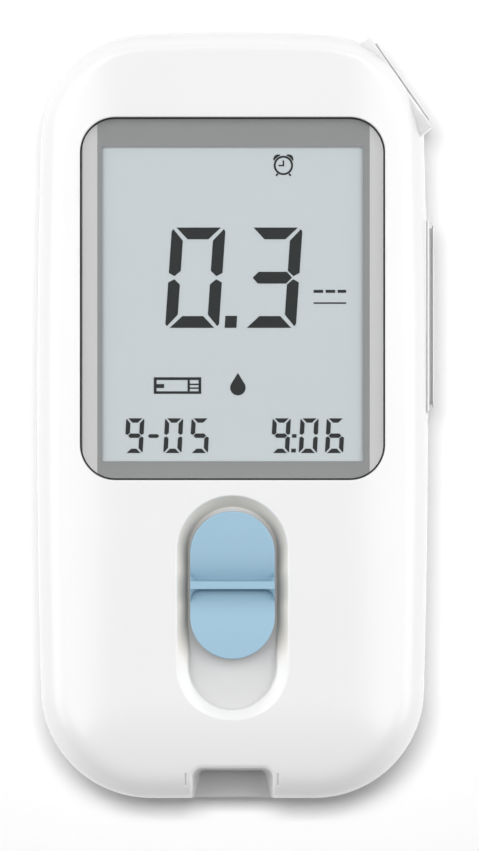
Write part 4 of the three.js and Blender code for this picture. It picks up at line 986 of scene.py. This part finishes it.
def buildLens():
    # flat plate whose top follows the side fall and is rounded by its distance from the rim
    ring = ringOf(lens, 0, 20, 40)
    top = lambda x, y: lens["high"] - sideFall(x) - fillet(-rectOutset(x, y, lens), lens["edge"])
    rings = [ringOf(lens, -d, 20, 40) for d in lens["edgeRings"]]
    shell = Shell()
    shell.sheet(ring, [], top, np.concatenate(rings), spacing=1.0)
    shell.sheet(ring, [], lens["low"])
    shell.drop(ring, top, lens["low"])
    return shell.piece("window_lens_clear")


def buildPlate(name, low, high, ring, *holes):
    # flat plate, with holes or without
    shell = Shell()
    for z in (low, high):
        shell.sheet(ring, holes, z)
    for loop in (ring, *holes):
        shell.drop(loop, high, low)
    return shell.piece(name)


lensPlate = buildLens()
surround = buildPlate("window_surround_print", mask["low"], mask["high"],
                      ringOf(window, -mask["gap"], 20, 20, 0.0), ringOf(mask, 0, 3, 10))
frontGlass = buildPlate("display_front_glass", displayPlate["low"], displayPlate["top"],
                        ringOf(displayPlate, 0, 3, 10))
finishPiece(lensPlate, "case", "clear_plastic", lensFinish(), "window_lens")
finishPiece(surround, "case", "grey_print", maskFinish(), "window_mask")
finishPiece(frontGlass, "case", "display_face", displayFilm)

photo = {"scale": 0.1303, "cx": 232.5, "cy": 414.75}
printLow, printHigh = displayPlate["top"] + 0.002, displayPlate["top"] + 0.03


def fromPixels(points):
    # pixel places less the picture's middle, times the millimetres per pixel
    x, y = np.asarray(points, float).T
    return np.stack([x - photo["cx"], photo["cy"] - y], 1) * photo["scale"]


class Ink:
    # flat marks on the display: each polygon becomes a thin closed prism
    def __init__(self):
        self.shell = Shell()

    def mark(self, pixels):
        ring = fromPixels(pixels)
        n = len(ring)
        high, low = atHeight(ring, printHigh), atHeight(ring, printLow)
        self.shell.wall(high, low)
        self.shell.add(np.concatenate([high, low]), [np.arange(n), np.arange(2 * n - 1, n - 1, -1)])

    def band(self, outer, inner):
        # closed band between two loops of equal count
        a, b = fromPixels(outer), fromPixels(inner)
        rows = [atHeight(a, printHigh), atHeight(b, printHigh), atHeight(b, printLow), atHeight(a, printLow)]
        self.shell.grid(np.stack(rows), closedRows=True)


def corners(left, top, right, bottom):
    return [(left, top), (right, top), (right, bottom), (left, bottom)]


def digitSegments(w, h, t, g, r):
    # seven marks of one digit in a w by h box: u right, v down; t stroke, g gap along a stroke, r corner cut
    m, k = h / 2, 0.4 * r
    a = [(g + k, 0), (w - g - k, 0), (w - g - k - t, t), (g + k + t, t)]
    d = [(g + k, h), (g + k + t, h - t), (w - g - k - t, h - t), (w - g - k, h)]
    f = [(0, r), (k, k), (t, t + g * 0.45), (t, m - t * 0.5 - g * 0.3), (t * 0.5, m - g * 0.5),
         (0, m - t * 0.32 - g * 0.3)]
    e = [(0, h - r), (0, m + t * 0.32 + g * 0.3), (t * 0.5, m + g * 0.5), (t, m + t * 0.5 + g * 0.3),
         (t, h - t - g * 0.45), (k, h - k)]
    b, c = (np.array(mark) * (-1, 1) + (w, 0) for mark in (f, e))
    mid = [(g * 0.4 + t * 0.5, m), (t + g * 0.3, m - t / 2), (w - t - g * 0.3, m - t / 2),
           (w - t * 0.5 - g * 0.4, m), (w - t - g * 0.3, m + t / 2), (t + g * 0.3, m + t / 2)]
    return {"a": a, "b": b, "c": c, "d": d, "e": e, "f": f, "g": mid}


digits = {"0": "abcdef", "3": "abcdg", "5": "acdfg", "6": "acdefg", "9": "abcdfg"}
bigDigit = {"w": 53.6, "h": 100.2, "t": 11.8, "g": 3.0, "r": 4.0}
smallDigit = {"w": 18.2, "h": 34.7, "t": 4.4, "g": 1.5, "r": 1.5}
stripIcon = {"outer": (153.9, 377.3, 201.3, 393.9), "inner": (156.7, 380.1, 198.6, 391.3),
             "bars": ((156.7, 384.1, 164.2, 388.1), (187.6, 380.1, 189.9, 391.3), (189.9, 383.6, 198.6, 385.2),
                      (189.9, 387.4, 198.6, 388.9))}
dropIcon = {"x": 237.9, "tip": 373.0, "y": 387.7, "radius": 7.7}
clock = {"x": 283.3, "y": 165.8, "outer": 9.7, "inner": 7.7, "bell": 10.2, "bellFar": 11.3, "bellRise": 1.7}
# plain bars where the unit would stand
bars = ((313.5, 290.0, 323.0, 293.0), (325.5, 290.0, 335.0, 293.0), (337.5, 290.0, 346.0, 293.0),
        (313.5, 302.5, 346.0, 304.0))


def drawDigit(ink, which, left, top, slant, size):
    parts = digitSegments(**size)
    for name in digits[which]:
        ink.mark(parts[name] @ np.array([[1, 0], [-slant, 1]]) + (left, top))


def drawDisplay():
    ink = Ink()
    for which, left in (("0", 172.0), ("3", 248.9)):
        drawDigit(ink, which, left, 227.8, 0.068, bigDigit)
    for which, left in (("9", 126.4), ("0", 165.2), ("5", 191.6), ("9", 272.6), ("0", 300.4), ("6", 326.6)):
        drawDigit(ink, which, left, 418.3, 0.052, smallDigit)
    # decimal point, dash and colon
    ink.mark([(225.4, 316), (237.2, 316), (236.4, 328), (224.6, 328)])
    ink.mark([(147.9, 436.0), (149.8, 434.1), (157.5, 434.1), (159.4, 436.0), (157.5, 437.9), (149.8, 437.9)])
    ink.mark([(292.0, 434.1), (296.5, 434.1), (296.3, 437.7), (291.8, 437.7)])
    ink.mark([(291.2, 448.6), (295.8, 448.6), (295.6, 452.4), (291.0, 452.4)])
    ink.band(corners(*stripIcon["outer"]), corners(*stripIcon["inner"]))
    for bar in stripIcon["bars"] + bars:
        ink.mark(corners(*bar))
    # blood drop: a circle drawn up into a tip
    arc = arcPoints(dropIcon["x"], dropIcon["y"], dropIcon["radius"], -31.6, 243.2, 29)
    ink.mark(np.concatenate([[(dropIcon["x"], dropIcon["tip"])], arc]))
    # alarm clock: ring, hands, bells and feet
    cx, cy = clock["x"], clock["y"]
    ink.band(disc(cx, cy, clock["outer"], 32), disc(cx, cy, clock["inner"], 32))
    ink.mark(corners(cx - 0.8, cy - 5.0, cx + 0.8, cy + 0.9))
    ink.mark(corners(cx - 4.9, cy - 0.6, cx - 0.85, cy + 0.9))
    rise = clock["bellFar"] + clock["bellRise"] * np.sin(np.linspace(0, math.pi, 8))
    lean = np.radians(np.linspace(27, 73, 8))
    for side, turn in ((-1, math.pi + lean), (1, -lean)):
        ink.mark(np.concatenate([around(cx, cy, rise, turn), around(cx, cy, clock["bell"], turn[::-1])]))
        ink.mark(np.array(((4.8, 8.8), (6.4, 7.7), (8.0, 10.0), (6.7, 11.0))) * (side, 1) + (cx, cy))
    return ink.shell.piece("display_segments_print", sharp=20, weld=1e-4)


finishPiece(drawDisplay(), "case", "display_face", segmentFinish())

print("thumb slider")


def knobTop(x, y):
    # rim height less a scoop: deepest beside the ridge, up to the rim at each end, corners round at the ridge
    r = np.where(y < knob["cy"], knob["corner"], knob["corner"] * 0.7)
    past = np.clip(np.abs(x) - (knob["width"] / 2 - knob["rim"] - r), 0, r)
    flare = r - np.sqrt(np.maximum(r ** 2 - past ** 2, 0))
    beside = np.abs(y - knob["cy"]) - knob["ridge"]
    fall = np.clip(1 - beside / (knob["length"] / 2 - knob["ridge"]), 0, 1)
    scoop = knob["depth"] * (0.2 * fall + 0.8 * fall ** 3) * smoothStep(0.0, 0.32, beside - flare)
    return knob["high"] - scoop - fillet(pillInset(x, y, knob), knob["edge"])


def buildKnob():
    ring = pillRing(knob, 0, 48, 30)
    stem = roundRect(knob["stemWidth"], knob["stemLength"], 0.3, knob["cy"], 3, 4)
    cloud = [pillRing(knob, d, 48, 30) for d in knob["edgeRings"]]
    down = np.concatenate([np.arange(-9.2, -1.2, 0.2), np.arange(-1.2, 1.2, 0.07), np.arange(1.2, 9.2, 0.2)])
    grid = gridPoints(np.arange(-4.9, 4.9, 0.16), knob["cy"] + down)
    cloud.append(grid[pillInset(*grid.T, knob) > 0.74])
    shell = Shell()
    shell.sheet(ring, [], knobTop, np.concatenate(cloud))
    shell.drop(ring, knobTop, knob["low"], 3)
    shell.sheet(ring, [stem], knob["low"])
    shell.drop(stem, knob["low"], knob["stemLow"])
    shell.sheet(stem, [], knob["stemLow"])
    return shell.piece("ejector_knob_cap")


finishPiece(buildKnob(), "ejector", "blue_plastic", bluePlastic, "ejector_knob")

print("keys")


def buildCap(name, part, place, top):
    # cap in the key's own plane: face, step in to a neck, flange behind the case and nibs for the switches
    cap, steps = part["cap"], part["steps"]
    ring, neck = ringOf(cap, 0, 10, steps), ringOf(cap, -part["neckIn"], 10, steps, 0.5)
    cloud = np.concatenate([ringOf(cap, -d, 10, steps, 0.9) for d in part["edgeRings"]])
    flange = roundRect(cap["width"] + 1.2, cap["length"] + 1.2, 0.4, 0, 4, part["flangeSteps"])
    nibs = [roundRect(3, 3, 0.3, 0, 3, 2, x) for x in part["nibs"]]
    plate, flangeTop, flangeLow, nibEnd = part["levels"]
    rounded = lambda x, y: top(x, y) - fillet(-rectOutset(x, y, cap), part["edge"])
    shell = Shell()
    shell.sheet(ring, [], rounded, cloud, part["spacing"], part["margin"])
    shell.drop(ring, rounded, plate)
    shell.wall(atHeight(ring, plate), atHeight(neck, plate))
    shell.drop(neck, plate, flangeTop, part["neckRows"])
    shell.sheet(flange, [neck], flangeTop)
    shell.drop(flange, flangeTop, flangeLow)
    shell.sheet(flange, nibs, flangeLow)
    for nib in nibs:
        shell.drop(nib, flangeLow, nibEnd)
        shell.sheet(nib, [], nibEnd)
    return shell.piece(name, place)


def keyTop(x, y):
    # height over the flat: a little proud, with a dome that is a parabola across
    return cornerKey["proud"] + cornerKey["dome"] * crown(x, cornerKey["cap"]["width"] / 2)


def rockerTop(x, y):
    # faint crown, less a flat-bottomed dimple for the thumb near each end
    z = rocker["face"] - rocker["crown"] * (1 - crown(x, rocker["cap"]["width"] / 2))
    for side in (-1, 1):
        far = ((x - side * rocker["dimpleX"]) / 2.3) ** 2 + (y / 1.8) ** 2
        z = z - rocker["dimpleDepth"] * np.exp(-far ** 2)
    return z


cornerCap = buildCap("power_key_cap", cornerKey, keyTurn, keyTop)
rockerCap = buildCap("side_rocker_cap", rocker, sideTurn, rockerTop)
for radius, reach in (rocker["hub"], rocker["pin"]):
    axle = slab(disc(rocker["pivot"], rocker["cy"], radius, 24), cornerKey["z"] - reach, cornerKey["z"] + reach)
    carve(rockerCap, axle, "UNION")
finishPiece(cornerCap, "power_key", "white_plastic", keyPlastic, "power_key")
finishPiece(rockerCap, "side_rocker", "white_plastic", keyPlastic, "side_rocker")

# return spring: its own piece, with a mesh of its own

print("return spring")
spring = {"radius": 1.1, "wire": 0.4, "turns": 6, "steps": 28, "sides": 12, "travel": 6.3}


def buildSpring():
    # tube on a helix: its middle turns about the axis as it climbs, its section lies in a plane with the axis
    low, high = (np.array(corner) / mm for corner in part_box("ejector_spring"))
    cx, cz, half = (low[0] + high[0]) / 2, (low[2] + high[2]) / 2, spring["wire"] / 2
    share = np.linspace(0, 1, spring["turns"] * spring["steps"] + 1)[:, None]
    side = np.arange(spring["sides"])[None] * 2 * math.pi / spring["sides"]
    turn = share * spring["turns"] * 2 * math.pi
    reach = spring["radius"] + half * np.cos(side)
    y = low[1] + half + (high[1] - low[1] - spring["wire"]) * share + half * np.sin(side)
    grid = np.stack([cx + reach * np.cos(turn), y, cz + reach * np.sin(turn)], -1)
    shell = Shell()
    shell.grid(grid)
    ends = np.arange(spring["sides"])
    shell.add(grid[[0, -1]].reshape(-1, 3), [ends, ends[::-1] + spring["sides"]])
    piece = shell.piece("ejector_return_spring", sharp=60, weld=1e-3)
    finishPiece(piece, "case", "steel", steel, "ejector_spring")
    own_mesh(piece)


buildSpring()

print("battery door")


def doorFace(x, y):
    # outer face at nought, edges rounded, and a finger grip with fine ribs: the upper half of a cosine
    inside = -rectOutset(x, y, grip)
    dish = grip["depth"] * smoothStep(0, 0.7, inside)
    wave = np.maximum(np.cos((y - grip["cy"]) * 2 * math.pi / grip["pitch"]), 0)
    rib = grip["rib"] * wave * smoothStep(0.7, 1.1, inside)
    return fillet(-rectOutset(x, y, door), door["edge"]) + dish - rib


def buildDoor():
    ring = ringOf(door, 0, 12, 40)
    cloud = [ringOf(door, -d, 12, 40) for d in door["edgeRings"]]
    cloud.append(gridPoints(np.arange(-5.8, 5.8, 0.15), np.arange(36.6, 42.4, 0.11)))
    cloud.append(gridPoints(np.arange(-11, 11, 1.5), np.arange(-4, 36, 1.5)))
    shell = Shell()
    shell.sheet(ring, [], doorFace, np.concatenate(cloud))
    shell.drop(ring, doorFace, door["thick"])
    shell.sheet(ring, [], door["thick"])
    plate = shell.piece("battery_door_panel")
    # two hooks with their roots, and the latch: width, length, middle, side, low and high
    wide, x = door["hookWidth"], door["hookX"]
    for width, length, cy, cx, low, high in (
            (wide, 3.75, -5.325, -x, 1.75, 2.9), (wide, 1.5, -4.2, -x, 0.9, 2.5),
            (wide, 3.75, -5.325, x, 1.75, 2.9), (wide, 1.5, -4.2, x, 0.9, 2.5), (7, 0.7, 43.8, 0, 0.9, 3.4)):
        carve(plate, slab(roundRect(width, length, door["corner"], cy, 2, 1, cx), low, high), "UNION")
    return plate


finishPiece(buildDoor(), "battery_door", "white_plastic", whitePlastic, "battery_door")

# finishes of the solids that stay

print("finishes of the inner pieces")
carried = {
    displayFilm: ["lcd_glass"],
    innerPlastic: ["lcd_holder", "ejector_carriage"],
    rubberFinish(): ["zebra_strip"],
    steel: ["case_screw_1", "case_screw_2", "case_screw_3", "clock_crystal",
            "negative_terminal", "positive_terminal", "battery_bridge"],
    brass: ["strip_contact_1", "strip_contact_2", "strip_contact_3", "strip_contact_4"],
    blackPlastic: ["power_plunger", "power_switch", "rocker_switch_1", "rocker_switch_2", "mcu_chip",
                   "piezo_buzzer", "strip_connector"],
    boardFinish(): ["main_board"],
    sleeveFinish(): ["battery_1", "battery_2"],
    paperFinish(): ["rear_label"],
}
for material, names in carried.items():
    for name in names:
        for slotEntry in nodes[name].material_slots:
            slotEntry.material = material

print("table, light and camera")
studio = {"table_box": (10.6, (-0.034, 0.122, 1.2), 0.35, 0.2),
          "box": (7.8, (0.665, 0.28, 0.96), 1.15, 1.05), "low": (3.0, (0.95, 0.08, 0.31), 0.85, 0.5),
          "zenith": 0.26, "horizon": 0.42, "front": 0.82, "back": 0.72}
tableFinish = Finish("white table", IOR=1.4)
tableGrain = tableFinish.noise(400.0, 2.0)
tableFinish.put(Base_Color=tableFinish.blend(tableGrain * 0.3, (0.97, 0.97, 0.97, 1), (0.95, 0.95, 0.95, 1)),
                Roughness=0.85 + tableGrain * 0.05)
tableMesh = bpy.data.meshes.new("table_top")
tableMesh.from_pydata([(x, y, -0.0001) for x, y in corners(-3, -3, 3, 3)], [], [(0, 1, 2, 3)])
tableMesh.materials.append(tableFinish.material)
table = bpy.data.objects.new("table_top", tableMesh)
bpy.context.scene.collection.objects.link(table)


def lightGroup(name):
    group = bpy.data.collections.new(name)
    group.objects.link(table)
    return group


def softBox(name, values, side, aim, group):
    power, (x, y, z), size, height = values
    place = Vector((side * x, y, z))
    light = bpy.data.lights.new(name, "AREA")
    light.shape, light.size, light.size_y, light.energy = "RECTANGLE", size, height, power
    obj = bpy.data.objects.new(name, light)
    obj.location = place
    obj.rotation_euler = (Vector(aim) - place).to_track_quat("-Z", "Y").to_euler()
    obj.visible_camera = False
    obj.light_linking.receiver_collection = group
    bpy.context.scene.collection.objects.link(obj)


# the side boxes leave the table alone and the third one lights nothing else, so the shadow stays short
tableGroup, otherGroup = lightGroup("table_light_group"), lightGroup("side_light_group")
otherGroup.collection_objects[0].light_linking.link_state = "EXCLUDE"
for kind in ("box", "low"):
    for name, side in (("left", -1), ("right", 1)):
        softBox(f"{name}_{kind}", studio[kind], side, (0, 0, 0.01), otherGroup)
softBox("table_box", studio["table_box"], 1, (*studio["table_box"][1][:2], 0), tableGroup)

# the room: paler low down, darker towards the front, brighter behind
world = bpy.data.worlds.new("studio")
world.use_nodes = True
room = Recipe(world.node_tree)
way = room.node("ShaderNodeSeparateXYZ", {"Vector": room.node("ShaderNodeTexCoord").outputs["Generated"]})
low = 1.0 - (abs(room.term(way, 2)) / 0.4).clamped()
front = (room.term(way, 1) * -1.2).clamped()
back = (room.term(way, 1) * 1.5).clamped()
level = studio["zenith"] + low * (studio["horizon"] - studio["zenith"])
level = level * (1.0 - front * (1 - studio["front"])) + low * back * studio["back"]
backdrop = room.node("ShaderNodeBackground", {"Color": (1, 1, 1, 1), "Strength": level})
room.node("ShaderNodeOutputWorld", {"Surface": backdrop.outputs[0]})
bpy.context.scene.world = world
bpy.context.scene.view_settings.view_transform = "Standard"

view = {"x": 0.91, "y": -1.40, "planeZ": 18.0, "distance": 1500.0, "frame": 110.9, "sensor": 36}
camera = bpy.data.cameras.new("photo_view")
camera.type = "PERSP"
camera.sensor_width = view["sensor"]
camera.lens = view["sensor"] * view["distance"] / view["frame"]
camera.clip_start, camera.clip_end = 0.01, 20
cameraObject = bpy.data.objects.new("photo_view", camera)
cameraObject.location = (view["x"] * mm, view["y"] * mm, (view["planeZ"] + view["distance"]) * mm)
bpy.context.scene.collection.objects.link(cameraObject)
bpy.context.scene.camera = cameraObject

bpy.context.view_layer.update()
